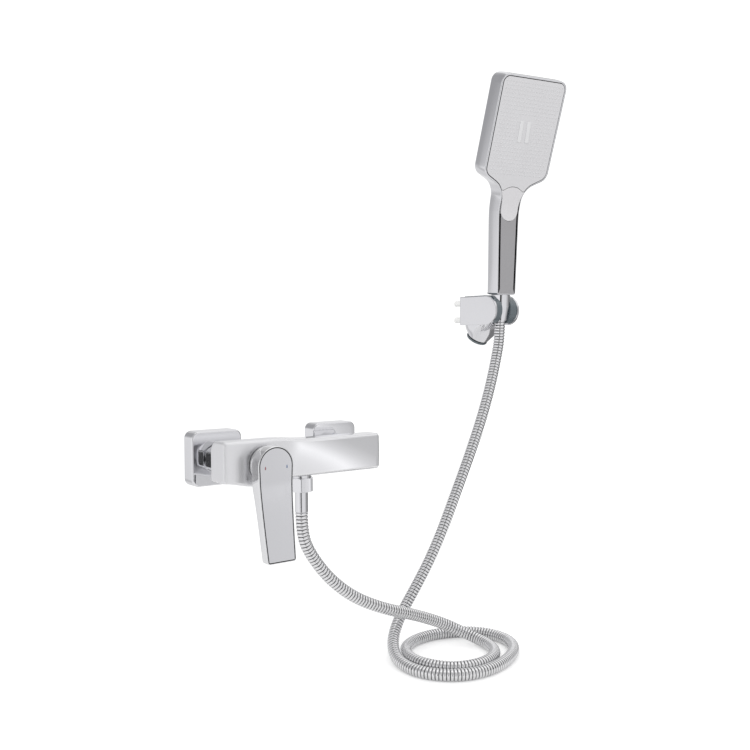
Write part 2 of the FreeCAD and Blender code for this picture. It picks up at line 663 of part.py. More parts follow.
def cartridge_stem():
    """Square stem that rocks on the pin and ends in the ball that pushes the carrier."""
    half = STEM_SQUARE / 2
    bar = Part.makeBox(STEM_SQUARE, STEM_FRONT - PIVOT_DEPTH, STEM_SQUARE,
                       Vector(CARTRIDGE_X - half, -STEM_FRONT, CARTRIDGE_Z - half))
    hub = rod(Vector(CARTRIDGE_X - half, -PIVOT_DEPTH, CARTRIDGE_Z), Vector(1, 0, 0), half, STEM_SQUARE)
    neck = rod_out(CARTRIDGE_X, CARTRIDGE_Z, BALL_NECK, BALL_DEPTH, PIVOT_DEPTH)
    ball = Part.makeSphere(BALL_RADIUS, Vector(CARTRIDGE_X, -BALL_DEPTH, CARTRIDGE_Z))
    hole = rod(Vector(CARTRIDGE_X - 10, -PIVOT_DEPTH, CARTRIDGE_Z), Vector(1, 0, 0),
               PIN_RADIUS + 0.05, 20)
    return bar.fuse([hub, neck, ball]).removeSplitter().cut(hole)


def cartridge_nut():
    """Ring nut that clamps the cartridge, with spanner notches in its front."""
    ring = sleeve_out(CARTRIDGE_X, CARTRIDGE_Z, COUNTERBORE_RADIUS - THREAD_GAP, NUT_BORE,
                      HOUSING_SHOULDER, NUT_FRONT)
    for turn in range(4):
        notch = Part.makeBox(NOTCH_WIDTH, NOTCH_DEPTH + 0.5, NOTCH_HEIGHT,
                             Vector(-NOTCH_WIDTH / 2, -NUT_FRONT - 0.5, COUNTERBORE_RADIUS - 2.2))
        notch.Placement = Placement(CENTRE, Rotation(Vector(0, 1, 0), 45 + 90 * turn))
        ring = ring.cut(notch)
    return ring


def cover_dome():
    """Dished ring that hides the cartridge nut behind the lever."""
    profile = [(DOME_RADIUS, BODY_FRONT), (DOME_SHOULDER, BODY_FRONT + 3.8),
               (DOME_TOP_RADIUS + 2.6, BODY_FRONT + 5.8), (DOME_TOP_RADIUS, DOME_FRONT),
               (DOME_HOLE, DOME_FRONT), (DOME_HOLE, DOME_FRONT - DOME_WALL),
               (DOME_TOP_RADIUS - 0.4, DOME_FRONT - DOME_WALL),
               (DOME_TOP_RADIUS + 1.4, BODY_FRONT + 4.9),
               (DOME_SHOULDER - DOME_WALL, BODY_FRONT + 3.4), (DOME_RADIUS - DOME_WALL, BODY_FRONT)]
    return turned(profile, CENTRE, TOWARDS_ROOM)


def lever_outline(inset):
    """The lever seen from the front: a half round on top and two sides that draw in to the tip."""
    radius = LEVER_RADIUS - inset
    half = LEVER_TIP_HALF - inset
    low = CARTRIDGE_Z - LEVER_LENGTH + inset
    corner = max(LEVER_CORNER - inset, 1.0)
    left = Vector(CARTRIDGE_X - radius, 0, CARTRIDGE_Z)
    top = Vector(CARTRIDGE_X, 0, CARTRIDGE_Z + radius)
    right = Vector(CARTRIDGE_X + radius, 0, CARTRIDGE_Z)
    shift = corner * (1 - math.sqrt(0.5))
    edges = [Part.Arc(left, top, right).toShape()]
    chain = [right, Vector(CARTRIDGE_X + half, 0, low + corner),
             Vector(CARTRIDGE_X + half - corner, 0, low), Vector(CARTRIDGE_X - half + corner, 0, low),
             Vector(CARTRIDGE_X - half, 0, low + corner), left]
    right_mid = Vector(CARTRIDGE_X + half - shift, 0, low + shift)
    left_mid = Vector(CARTRIDGE_X - half + shift, 0, low + shift)
    edges.append(Part.LineSegment(chain[0], chain[1]).toShape())
    edges.append(Part.Arc(chain[1], right_mid, chain[2]).toShape())
    edges.append(Part.LineSegment(chain[2], chain[3]).toShape())
    edges.append(Part.Arc(chain[3], left_mid, chain[4]).toShape())
    edges.append(Part.LineSegment(chain[4], chain[5]).toShape())
    return Part.Wire(edges)


def lever_prism(inset):
    """The lever's outline pushed through the whole depth."""
    face = Part.Face(lever_outline(inset))
    face.translate(Vector(0, -LEVER_RIM + 5, 0))
    return face.extrude(Vector(0, -50, 0))


def lever_side(front_in, back):
    """A slab as wide as the lever between its front curve, set in by front_in, and a back edge.

    The front is upright as far as the axis and then runs out in one arc to the tip."""
    x = CARTRIDGE_X - LEVER_RADIUS - 5
    top = CARTRIDGE_Z + LEVER_RADIUS + 1
    bend = CARTRIDGE_Z - LEVER_KNEE
    tip = CARTRIDGE_Z - LEVER_LENGTH - 1
    upper = Vector(x, -LEVER_FRONT + front_in, top)
    knee = Vector(x, -LEVER_FRONT + front_in, bend)
    belly = Vector(x, -LEVER_FRONT - LEVER_BELLY + front_in, bend - LEVER_BELLY_DROP)
    toe = Vector(x, -LEVER_TIP_FRONT + front_in, tip)
    edges = [Part.LineSegment(upper, knee).toShape(), Part.Arc(knee, belly, toe).toShape()]
    edges.append(Part.LineSegment(toe, back[-1]).toShape())
    edges.extend(back_edges(back))
    edges.append(Part.LineSegment(back[0], upper).toShape())
    return Part.Face(Part.Wire(edges)).extrude(Vector(2 * LEVER_RADIUS + 10, 0, 0))


def back_edges(back):
    """Edges from the last point of a back line to its first: an arc below, straight runs above."""
    edges = []
    if len(back) == 5:
        edges.append(Part.Arc(back[4], back[3], back[2]).toShape())
        edges.append(Part.LineSegment(back[2], back[1]).toShape())
        edges.append(Part.LineSegment(back[1], back[0]).toShape())
    else:
        edges.append(Part.LineSegment(back[1], back[0]).toShape())
    return edges


def grub_line():
    """Where the grub screw's axis meets the stem, and its direction down and back."""
    tilt = math.radians(GRUB_TILT)
    direction = Vector(0, math.sin(tilt), -math.cos(tilt))
    start = Vector(CARTRIDGE_X, -GRUB_DEPTH, CARTRIDGE_Z - STEM_SQUARE / 2 - 0.6)
    return start, direction


def lever_handle():
    """Chromed lever: a hollow for the dome, a square socket for the stem and a pocket for its plate."""
    x = CARTRIDGE_X - LEVER_RADIUS - 5
    back = [Vector(x, -LEVER_RIM_TOP, CARTRIDGE_Z + LEVER_RADIUS + 1), Vector(x, -LEVER_RIM, CARTRIDGE_Z),
            Vector(x, -LEVER_RIM, CARTRIDGE_Z - LEVER_HEEL),
            Vector(x, -LEVER_RIM - LEVER_BACK_RISE, CARTRIDGE_Z - LEVER_BACK_MIDDLE),
            Vector(x, -LEVER_TIP_BACK, CARTRIDGE_Z - LEVER_LENGTH - 1)]
    solid = lever_prism(0).common(lever_side(0, back))
    pocket = lever_prism(PLATE_INSET).cut(lever_side(PLATE_POCKET, far_back()))
    cavity = rod_out(CARTRIDGE_X, CARTRIDGE_Z, LEVER_CAVITY_RADIUS, LEVER_RIM - 5, LEVER_CAVITY_FLOOR)
    boss = rod_out(CARTRIDGE_X, CARTRIDGE_Z, LEVER_BOSS_RADIUS, LEVER_BOSS_END, LEVER_CAVITY_FLOOR + 0.5)
    socket_width = STEM_SQUARE + 2 * STEM_GAP
    socket = Part.makeBox(socket_width, 20, socket_width,
                          Vector(CARTRIDGE_X - socket_width / 2, -STEM_FRONT - STEM_GAP,
                                 CARTRIDGE_Z - socket_width / 2))
    start, direction = grub_line()
    screw_hole = rod(start, direction, GRUB_RADIUS + 0.05, 40)
    return solid.cut(pocket).cut(cavity).fuse(boss).cut([socket, screw_hole])


def far_back():
    """A back line well behind the lever, for cutting tools."""
    x = CARTRIDGE_X - LEVER_RADIUS - 5
    return [Vector(x, -LEVER_RIM + 20, CARTRIDGE_Z + LEVER_RADIUS + 1),
            Vector(x, -LEVER_RIM + 20, CARTRIDGE_Z - LEVER_LENGTH - 1)]


def lever_plate():
    """Thin front plate of the lever, a fine seam inside the chromed rim, with two small pockets."""
    solid = lever_prism(PLATE_INSET + PLATE_SEAM).common(lever_side(0, far_back()))
    solid = solid.cut(lever_side(PLATE_THICKNESS, far_back()))
    for side in (-1, 1):
        solid = solid.cut(mark_block(side, 0.05))
    return solid


def mark_block(side, gap):
    """The upright bar of one temperature mark in the plate's face."""
    width = MARK_WIDTH + 2 * gap
    height = MARK_HEIGHT + 2 * gap
    return Part.makeBox(width, MARK_DEPTH, height,
                        Vector(CARTRIDGE_X + side * MARK_SPREAD - width / 2, -LEVER_FRONT,
                               CARTRIDGE_Z - MARK_DROP - height / 2))


def grub_screw():
    """Socket grub screw that holds the lever on the stem."""
    start, direction = grub_line()
    point = start + direction * 0.65
    body = rod(point, direction, GRUB_RADIUS, GRUB_LENGTH)
    key = hexagon(point + direction * (GRUB_LENGTH - 2.0), direction, 2.5, 3)
    return body.cut(key)


def outlet_nipple():
    """Threaded outlet below the body, which the hose nut screws on to."""
    thread = rod_down(OUTLET_X, OUTLET_Y, OUTLET_Z, OUTLET_THREAD_RADIUS, OUTLET_NIPPLE_LENGTH)
    screw = rod_down(OUTLET_X, OUTLET_Y, OUTLET_Z + OUTLET_SCREW_LENGTH, OUTLET_SCREW_RADIUS,
                     OUTLET_SCREW_LENGTH + OUTLET_NIPPLE_LENGTH)
    bore = rod_down(OUTLET_X, OUTLET_Y, OUTLET_Z + OUTLET_SCREW_LENGTH + 1, OUTLET_NIPPLE_BORE,
                    OUTLET_SCREW_LENGTH + OUTLET_NIPPLE_LENGTH - 2)
    mouth = rod_down(OUTLET_X, OUTLET_Y, OUTLET_Z, OUTLET_BORE, OUTLET_NIPPLE_LENGTH + 1)
    return thread.fuse(screw).removeSplitter().cut([bore, mouth])


def check_valve():
    """Spring-loaded insert in the outlet that stops water from running back."""
    top = OUTLET_Z + OUTLET_SCREW_LENGTH - 1
    shell = sleeve_down(OUTLET_X, OUTLET_Y, top, CHECK_VALVE_RADIUS, 4.8, CHECK_VALVE_LENGTH)
    floor = rod_down(OUTLET_X, OUTLET_Y, top - CHECK_VALVE_LENGTH + 2, CHECK_VALVE_RADIUS, 2)
    holes = []
    for turn in range(4):
        angle = math.radians(90 * turn + 45)
        holes.append(rod_down(OUTLET_X + 3.0 * math.cos(angle), OUTLET_Y + 3.0 * math.sin(angle),
                              top, 1.2, CHECK_VALVE_LENGTH + 1))
    poppet = rod_down(OUTLET_X, OUTLET_Y, top - 4, 1.3, CHECK_VALVE_LENGTH - 5)
    head = Part.makeCone(4.2, 1.3, 2.5, Vector(OUTLET_X, OUTLET_Y, top - 4), Vector(0, 0, -1))
    return shell.fuse([floor.cut(holes), poppet, head]).removeSplitter()


def hose_nut():
    """Hexagonal nut at the mixer end of the hose."""
    top = OUTLET_Z - HOSE_NUT_TOP
    shoulder = TAIL_TOP - TAIL_FLANGE - THREAD_GAP
    body = hexagon(Vector(OUTLET_X, OUTLET_Y, top), Vector(0, 0, -1), HOSE_NUT_FLATS, HOSE_NUT_LENGTH)
    thread = rod_down(OUTLET_X, OUTLET_Y, top + 1, HOSE_NUT_BORE, top + 1 - shoulder)
    hole = rod_down(OUTLET_X, OUTLET_Y, top, TAIL_NECK_RADIUS + NECK_GAP, HOSE_NUT_LENGTH + 1)
    return body.cut(thread).cut(hole)


def along_seat(distance):
    """A point on the hand shower's seat axis, below the handle for a negative distance."""
    return SEAT_POINT + SEAT_AXIS * distance


def end_rod(start, direction, radius, begin, end):
    """A round bar on a hose end's axis, between two distances from a start point."""
    return rod(start + direction * begin, direction, radius, end - begin)


def hose_washer(start, direction, radius):
    """Flat ring seal of a hose end."""
    ring = end_rod(start, direction, radius, 0, HOSE_WASHER)
    return ring.cut(end_rod(start, direction, 5.5, -1, HOSE_WASHER + 1))


def hose_tail(start, direction, radius, neck_length):
    """Flanged tail that the liner is pushed on to."""
    flange = end_rod(start, direction, radius, 0, TAIL_FLANGE)
    neck = end_rod(start, direction, TAIL_NECK_RADIUS, 0, TAIL_FLANGE + neck_length)
    barb = end_rod(start, direction, TAIL_BARB_RADIUS, 0,
                   TAIL_FLANGE + neck_length + TAIL_BARB_LENGTH)
    bore = end_rod(start, direction, TAIL_BORE, -1, TAIL_FLANGE + neck_length + TAIL_BARB_LENGTH + 1)
    return flange.fuse([neck, barb]).removeSplitter().cut(bore)


def ferrule(start, direction, length):
    """Smooth sleeve that is pressed round the end of the hose."""
    return end_rod(start, direction, FERRULE_RADIUS, 0, length).cut(
        end_rod(start, direction, FERRULE_BORE, -1, length + 1))


def hose_route():
    """The hose's points: down from the outlet, over to the right, nearly two turns and up."""
    floor = FLOOR_LEVEL
    return [
        HOSE_START, Vector(2, -62, -77), Vector(13, -63.5, -101), Vector(33, -70, -129),
        Vector(62, -76, -153), Vector(98, -82, -170), Vector(133, -80.5, -182),
        Vector(166, -76.5, -195), Vector(193, -79.5, -207), Vector(211, -91, -217.5),
        Vector(219.5, -110, -223), Vector(217, -131, floor), Vector(206, -149, floor),
        Vector(189, -160.5, floor), Vector(167, -165, floor), Vector(144, -160.5, floor),
        Vector(126.5, -146, floor), Vector(117, -124, floor), Vector(118, -100, floor),
        Vector(130, -78, floor), Vector(152, -63, floor), Vector(178, -57.5, floor),
        Vector(204, -61, floor), Vector(227, -72, floor), Vector(243, -90, floor),
        Vector(249.5, -114, floor), Vector(244, -138, floor), Vector(226, -159, floor),
        Vector(200, -174, floor), Vector(170, -183, floor), Vector(140, -182, floor),
        Vector(115.5, -169, floor), Vector(100, -147, floor), Vector(97, -120, floor),
        Vector(103, -93, -221.5), Vector(118, -71, -209), Vector(140, -60, -188),
        Vector(162, -60, -161), Vector(183, -60, -133), Vector(203, -60, -100),
        Vector(223, -60, -61), Vector(244, -60, -20), Vector(264, -59, 20), Vector(280, -57, 54),
        Vector(293, -53.8, 83), Vector(302.5, -51.5, 108.5), HOSE_END - SEAT_AXIS * END_RUN, HOSE_END]


def rounded_route(points):
    """Straight runs joined by tangent arcs, each as large as its two runs allow.

    Returns the spans as (kind, start, middle, end) and prints the radii."""
    spans = []
    radii = []
    here = points[0]
    for index in range(1, len(points) - 1):
        corner = points[index]
        back = points[index - 1] - corner
        ahead = points[index + 1] - corner
        reach = 0.45 * min(back.Length, ahead.Length)
        back.normalize()
        ahead.normalize()
        turn = math.pi - back.getAngle(ahead)
        radius = reach / math.tan(turn / 2)
        radii.append(radius)
        start = corner + back * reach
        end = corner + ahead * reach
        inward = (back + ahead).normalize()
        middle = corner + inward * (radius / math.cos(turn / 2) - radius)
        spans.append(("line", here, here, start))
        spans.append(("arc", start, middle, end))
        here = end
    spans.append(("line", here, here, points[-1]))
    print("hose arc radii:", ", ".join("%.0f" % radius for radius in radii))
    return spans


def span_edges(spans):
    """The route as edges."""
    edges = []
    for kind, start, middle, end in spans:
        if kind == "line":
            edges.append(Part.LineSegment(start, end).toShape())
        else:
            edges.append(Part.Arc(start, middle, end).toShape())
    return edges


def stations(edges, count_of_parts):
    """Points and directions at even steps along the route: (point, direction)."""
    total = sum(edge.Length for edge in edges)
    marks = []
    edge_index = 0
    passed = 0.0
    for step in range(count_of_parts + 1):
        target = total * step / count_of_parts
        while edge_index < len(edges) - 1 and passed + edges[edge_index].Length < target - 1e-7:
            passed += edges[edge_index].Length
            edge_index += 1
        edge = edges[edge_index]
        along = min(max(target - passed, 0.0), edge.Length)
        parameter = edge.getParameterByLength(along)
        marks.append((edge.valueAt(parameter), edge.tangentAt(parameter).normalize()))
    return marks


def rings_along(marks, radii):
    """Circles across the route whose start points keep to one side, so the skin has no twist."""
    side = Vector(0, 1, 0)
    wires = []
    for (point, direction), radius in zip(marks, radii):
        side = (side - direction * side.dot(direction)).normalize()
        axes = Part.Circle(point, direction, radius)
        axes.XAxis = side
        wires.append(Part.Wire([axes.toShape()]))
    return wires


def shower_hose(edges):
    """Ribbed metal hose: each rib is a flank, a crest, a flank and a valley, round an open bore."""
    marks = stations(edges, 4 * HOSE_RIBS)
    outer_radii = []
    for step in range(len(marks)):
        outer_radii.append(HOSE_CREST if step % 4 in (1, 2) else HOSE_VALLEY)
    outer = rings_along(marks, outer_radii)
    inner_marks = marks[::2]
    inner = rings_along(inner_marks, [HOSE_BORE] * len(inner_marks))
    skin = Part.makeLoft(outer, False, True)
    bore = Part.makeLoft(inner, False, True)
    start_ring = Part.Face([outer[0], inner[0]], "Part::FaceMakerBullseye")
    end_ring = Part.Face([outer[-1], inner[-1]], "Part::FaceMakerBullseye")
    shell = Part.makeShell(skin.Faces + bore.Faces + [start_ring, end_ring])
    shell.sewShape()
    solid = Part.makeSolid(Part.Shell(shell.Faces))
    if solid.Volume < 0:
        solid.reverse()
    crest_area = math.pi * (HOSE_CREST ** 2 + HOSE_VALLEY ** 2 + HOSE_CREST * HOSE_VALLEY) / 3
    section = (crest_area + math.pi * (HOSE_CREST ** 2 + HOSE_VALLEY ** 2) / 2) / 2
    section -= math.pi * HOSE_BORE ** 2
    length = sum(edge.Length for edge in edges)
    print("hose length %.1f, volume %.0f, section times length %.0f, valid %s"
          % (length, solid.Volume, section * length, solid.isValid()))
    print("least gap of the hose to itself %.1f" % least_self_gap(marks))
    return solid


def least_self_gap(marks):
    """Smallest clear distance between stretches of the hose that aren't neighbours."""
    least = 1e9
    points = [point for point, direction in marks[::2]]
    spread = points[0].distanceToPoint(points[1])
    skip = int(6 * HOSE_CREST / spread) + 1
    for first in range(len(points)):
        for second in range(first + skip, len(points)):
            least = min(least, points[first].distanceToPoint(points[second]))
    return least - 2 * HOSE_CREST


def hose_liner(edges):
    """Smooth inner hose, from one tail's barb to the other's."""
    down = Vector(0, 0, -1)
    top = Vector(OUTLET_X, OUTLET_Y, FERRULE_TOP - 1)
    inside = along_seat(UPPER_FERRULE_TOP - 1)
    first = Part.LineSegment(top, HOSE_START).toShape()
    last = Part.LineSegment(HOSE_END, inside).toShape()
    spine = Part.Wire([first] + edges + [last])
    tubes = []
    for radius in (LINER_RADIUS, LINER_BORE):
        ring = Part.Wire([Part.Circle(top, down, radius).toShape()])
        tubes.append(spine.makePipeShell([ring], True, False))
    liner = tubes[0].cut(tubes[1])
    length = spine.Length
    area = math.pi * (LINER_RADIUS ** 2 - LINER_BORE ** 2)
    print("liner length %.1f, volume %.0f, section times length %.0f" % (length, liner.Volume, area * length))
    return liner


def cone_nut():
    """Round nut of the hand shower: straight over its thread, then a cone that seats in the bracket."""
    shoulder = CONE_TAIL_TOP - TAIL_FLANGE - THREAD_GAP
    profile = [(CONE_BORE, 0), (CONE_RADIUS - 0.5, 0), (CONE_RADIUS, 0.5), (CONE_RADIUS, CONE_STRAIGHT),
               (CONE_TIP_RADIUS, CONE_LENGTH), (CONE_NECK_BORE, CONE_LENGTH), (CONE_NECK_BORE, -shoulder),
               (CONE_BORE, -shoulder)]
    return turned(profile, along_seat(-0.1), SEAT_AXIS * -1)


def in_hand(shape):
    """Moves a shape from the hand shower's own frame to its place."""
    moved = shape.copy()
    moved.Placement = HAND_PLACE.multiply(moved.Placement)
    return moved


def face_point(across, up, deep):
    """A point of the hand shower's frame by its place on the spray face and its depth behind it."""
    tilt = math.radians(FACE_TILT)
    along = Vector(0, -math.sin(tilt), math.cos(tilt))
    inward = Vector(0, math.cos(tilt), math.sin(tilt))
    return FACE_START + Vector(across, 0, 0) + along * up + inward * deep


def face_inward():
    """The direction into the head, square to its spray face."""
    return face_point(0, 0, 1) - FACE_START


def head_outline(inset, low):
    """The head seen square to its face, from a place on the neck to the top, drawn in by inset."""
    half = HEAD_WIDTH / 2 - inset
    neck = NECK_HALF - inset
    shoulder_low = SHOULDER_LOW + 0.9 * inset
    shoulder_high = SHOULDER_HIGH + 0.9 * inset
    top = HEAD_TOP - inset
    return [(neck, low, 0), (neck, shoulder_low, NECK_ROUND), (half, shoulder_high, SHOULDER_ROUND - inset),
            (half, top, HEAD_CORNER - inset), (-half, top, HEAD_CORNER - inset),
            (-half, shoulder_high, SHOULDER_ROUND - inset), (-neck, shoulder_low, NECK_ROUND),
            (-neck, low, 0)]


def head_slab(inset, low, deep_from, deep_to):
    """A slab of the head above a place on the neck, between two depths behind the spray face."""
    push = face_inward() * (deep_to - deep_from)
    slab = prism(head_outline(inset, HEAD_START), lambda a, b: face_point(a, b, deep_from), push)
    if low <= HEAD_START:
        return slab
    below = prism([(-60, HEAD_START - 10, 0), (60, HEAD_START - 10, 0), (60, low, 0), (-60, low, 0)],
                  lambda a, b: face_point(a, b, deep_from - 1), face_inward() * (deep_to - deep_from + 2))
    return slab.cut(below)


def handle_bar(inset, bottom, top, front, back):
    """The handle as a four-sided bar, wider towards the neck."""
    wires = []
    for height in (bottom, top):
        half = (HANDLE_WIDTH_BOTTOM + (HANDLE_WIDTH_TOP - HANDLE_WIDTH_BOTTOM) * height / 100) / 2 - inset
        corner = max(HANDLE_CORNER - inset, 0.8)
        corners = [(-half, front, corner), (half, front, corner), (half, back, corner), (-half, back, corner)]
        wires.append(outline(corners, lambda a, b, z=height: Vector(a, b, z)))
    return Part.makeLoft(wires, True, True)


def handset_outer():
    """Handle and head as one solid."""
    half_depth = HANDLE_DEPTH / 2
    handle = handle_bar(0, 0, HANDLE_TOP, -half_depth, half_depth)
    head = head_slab(0, HEAD_START, 0, HEAD_THICKNESS)
    over_face = Part.makeBox(120, 40, 200, Vector(-60, -40, 0))
    over_face.Placement = Placement(FACE_START, Rotation(Vector(1, 0, 0), FACE_TILT))
    keep_below = Part.makeBox(120, 80, HANDLE_BEND, Vector(-60, -40, 0))
    low_handle = handle.common(keep_below)
    high_handle = handle.cut(keep_below).cut(over_face)
    return low_handle.fuse([high_handle, head]).removeSplitter()


def button_region(half, top, bottom, deep_from, deep_to):
    """The tongue between grip and spray face, a band that follows both fronts."""
    push = face_inward() * (deep_to - deep_from)
    upper = [(half, 8, 0), (half, top - 6, 0), (half * 0.55, top - 1.0, 9), (0, top, 20),
             (-half * 0.55, top - 1.0, 9), (-half, top - 6, 0), (-half, 8, 0)]
    upper_band = prism(upper, lambda a, b: face_point(a, b, deep_from), push)
    front = -HANDLE_DEPTH / 2
    lower = [(half, 108, 0), (half, bottom + 7, 0), (half * 0.6, bottom + 1.2, 8), (0, bottom, 18),
             (-half * 0.6, bottom + 1.2, 8), (-half, bottom + 7, 0), (-half, 108, 0)]
    lower_band = prism(lower, lambda a, b: Vector(a, front + deep_from, b), Vector(0, deep_to - deep_from, 0))
    split = FACE_START.z + (HANDLE_DEPTH / 2 + FACE_START.y) / math.tan(math.radians(FACE_TILT))
    below = Part.makeBox(80, 80, 80, Vector(-40, -60, split - 80))
    return upper_band.cut(below).fuse(lower_band.common(below)).removeSplitter()


def handset_back_shell(outer):
    """Chromed shell of the hand shower, open to the front for face, button and grip."""
    inner = SHELL_WALL
    half_depth = HANDLE_DEPTH / 2
    head_room = head_slab(inner, FACE_LOW, 0, HEAD_THICKNESS - inner)
    seat = head_slab(FACE_INSET, FACE_LOW, -1, FACE_THICKNESS)
    handle_room = handle_bar(inner, HANDLE_FLOOR, 118, -half_depth + GRIP_THICKNESS + 1.6,
                             half_depth - inner)
    spigot_seat = rod(Vector(0, 0, -1), Vector(0, 0, 1), SPIGOT_RADIUS + THREAD_GAP, HANDLE_FLOOR + 2)
    neck_room = head_slab(inner + 1, 12, 6, HEAD_THICKNESS - inner)
    grip_seat = handle_bar(GRIP_INSET, GRIP_BOTTOM, BUTTON_BOTTOM + 8, -half_depth - 8,
                           -half_depth + GRIP_THICKNESS)
    button_seat = button_region(BUTTON_HALF + BUTTON_GAP, BUTTON_TOP + BUTTON_GAP,
                                BUTTON_BOTTOM - BUTTON_GAP, -8, 9)
    return outer.cut([head_room, seat, handle_room, neck_room, grip_seat, button_seat, spigot_seat])


def face_plate(nozzles, slots):
    """Spray face of the head, with a hole for each nozzle."""
    plate = head_slab(FACE_INSET + FACE_SEAM, FACE_LOW + FACE_SEAM, 0, FACE_THICKNESS)
    tongue = button_region(BUTTON_HALF + BUTTON_GAP, BUTTON_TOP + BUTTON_GAP + 0.3, BUTTON_BOTTOM, -8, 12)
    return plate.cut(tongue).cut(nozzles + slots)


def nozzle_places():
    """Where the nozzles stand on the spray face: rows and columns, clear of the two middle slots."""
    places = []
    first_row = SLOT_CENTRE - NOZZLE_PITCH * (NOZZLE_ROWS - 1) / 2
    for row in range(NOZZLE_ROWS):
        for column in range(NOZZLE_COLUMNS):
            across = NOZZLE_PITCH * (column - (NOZZLE_COLUMNS - 1) / 2)
            up = first_row + NOZZLE_PITCH * row
            if abs(across) > SLOT_SPREAD + 2 or abs(up - SLOT_CENTRE) > SLOT_HEIGHT / 2 + 4:
                places.append((across, up))
    return places


def nozzle_pins(radius, deep_from, deep_to):
    """A round pin at each nozzle's place between two depths."""
    pins = []
    for across, up in nozzle_places():
        pins.append(rod(face_point(across, up, deep_from), face_inward(), radius, deep_to - deep_from))
    return pins


def slot_bars(gap, deep_from, deep_to):
    """The two slightly leaning bars of the middle jets."""
    bars = []
    half = SLOT_WIDTH / 2 + gap
    lean = SLOT_HEIGHT / 2 * math.tan(math.radians(SLOT_SLANT))
    push = face_inward() * (deep_to - deep_from)
    for side in (-1, 1):
        middle = side * SLOT_SPREAD / 2 - 1.0
        low = SLOT_CENTRE - SLOT_HEIGHT / 2 - gap
        high = SLOT_CENTRE + SLOT_HEIGHT / 2 + gap
        corners = [(middle - half + lean, low, 1.2), (middle + half + lean, low, 1.2),
                   (middle + half - lean, high, 1.2), (middle - half - lean, high, 1.2)]
        bars.append(prism(corners, lambda a, b: face_point(a, b, deep_from), push))
    return bars


def nozzle_mat(slots):
    """Soft mat behind the spray face whose nozzles stand through its holes."""
    mat = head_slab(SHELL_WALL + MAT_GAP, MAT_LOW, FACE_THICKNESS, FACE_THICKNESS + MAT_THICKNESS)
    pins = nozzle_pins(NOZZLE_RADIUS, -NOZZLE_PROUD, FACE_THICKNESS + 0.2)
    return mat.fuse(pins).cut(slots)


def middle_jets():
    """The two raised bars of the middle jets, on one carrier behind the mat."""
    bars = slot_bars(-NOZZLE_GAP, -SLOT_PROUD, FACE_THICKNESS + MAT_THICKNESS + 0.1)
    carrier = prism([(-11, SLOT_CENTRE - 15, 2), (10, SLOT_CENTRE - 15, 2), (10, SLOT_CENTRE + 15, 2),
                     (-11, SLOT_CENTRE + 15, 2)],
                    lambda a, b: face_point(a, b, FACE_THICKNESS + MAT_THICKNESS), face_inward() * 1.5)
    return carrier.fuse(bars)


def spray_chamber():
    """Inner plate and rim that close the water space behind the nozzle mat."""
    start = FACE_THICKNESS + MAT_THICKNESS
    low = MAT_LOW + 1
    rim = head_slab(SHELL_WALL + MAT_GAP, low, start, start + CHAMBER_HEIGHT)
    space = head_slab(SHELL_WALL + MAT_GAP + CHAMBER_WALL, low + CHAMBER_WALL, start - 1,
                      start + CHAMBER_HEIGHT - CHAMBER_COVER)
    feed = rod(face_point(0, 66, start + 5), face_inward(), TUBE_RADIUS - TUBE_WALL, 8)
    return rim.cut(space).cut(feed)


def mode_button():
    """Tongue-shaped push button between grip and spray face."""
    return button_region(BUTTON_HALF, BUTTON_TOP, BUTTON_BOTTOM, -BUTTON_PROUD,
                         BUTTON_THICKNESS - BUTTON_PROUD)


def button_centre():
    """Middle of the button and the way it is pushed."""
    return face_point(0, BUTTON_MIDDLE, 0), face_inward()


def button_spring():
    """Coil spring that lifts the button, a tube round its guide."""
    centre, inward = button_centre()
    start = centre + inward * (BUTTON_THICKNESS - BUTTON_PROUD)
    hollow = end_rod(start, inward, SPRING_RADIUS - SPRING_WIRE, -1, SPRING_LENGTH + 1)
    return end_rod(start, inward, SPRING_RADIUS, 0, SPRING_LENGTH).cut(hollow)


def mode_valve():
    """Shuttle valve behind the button, in the water way of the neck."""
    centre, inward = button_centre()
    start = centre + inward * (BUTTON_THICKNESS - BUTTON_PROUD + SPRING_LENGTH)
    body = end_rod(start, inward, VALVE_RADIUS, 0, VALVE_LENGTH)
    return body.cut(end_rod(start, inward, VALVE_RADIUS - 5, 1.2, VALVE_LENGTH - 1.4))


def water_tube():
    """Plastic water way from the thread at the bottom of the handle up to the valve."""
    centre, inward = button_centre()
    along = face_point(0, 1, 0) - FACE_START
    valve_low = centre + inward * (BUTTON_THICKNESS - BUTTON_PROUD + SPRING_LENGTH) - along * VALVE_RADIUS
    height = valve_low.z - TUBE_GAP - HANDLE_FLOOR
    up = Vector(0, 0, 1)
    outer = rod(Vector(0, TUBE_SHIFT, HANDLE_FLOOR), up, TUBE_RADIUS, height)
    return outer.cut(rod(Vector(0, TUBE_SHIFT, HANDLE_FLOOR - 1), up, TUBE_RADIUS - TUBE_WALL, height + 2))


def thread_spigot():
    """Threaded inlet at the bottom of the handle."""
    down = Vector(0, 0, -1)
    plug = rod(Vector(0, 0, HANDLE_FLOOR), down, SPIGOT_RADIUS, SPIGOT_LENGTH + HANDLE_FLOOR)
    return plug.cut(rod(Vector(0, 0, HANDLE_FLOOR + 1), down, SPIGOT_BORE, SPIGOT_LENGTH + HANDLE_FLOOR + 2))


def flow_strainer():
    """Perforated cup in the threaded inlet."""
    down = Vector(0, 0, -1)
    cup = rod(Vector(0, 0, -2), down, SPIGOT_BORE - 0.05, 7).cut(rod(Vector(0, 0, -3.2), down, 5.4, 10))
    holes = []
    for turn in range(6):
        angle = math.radians(60 * turn)
        holes.append(rod(Vector(3.2 * math.cos(angle), 3.2 * math.sin(angle), 0), down, 1.0, 6))
    return cup.cut(holes)


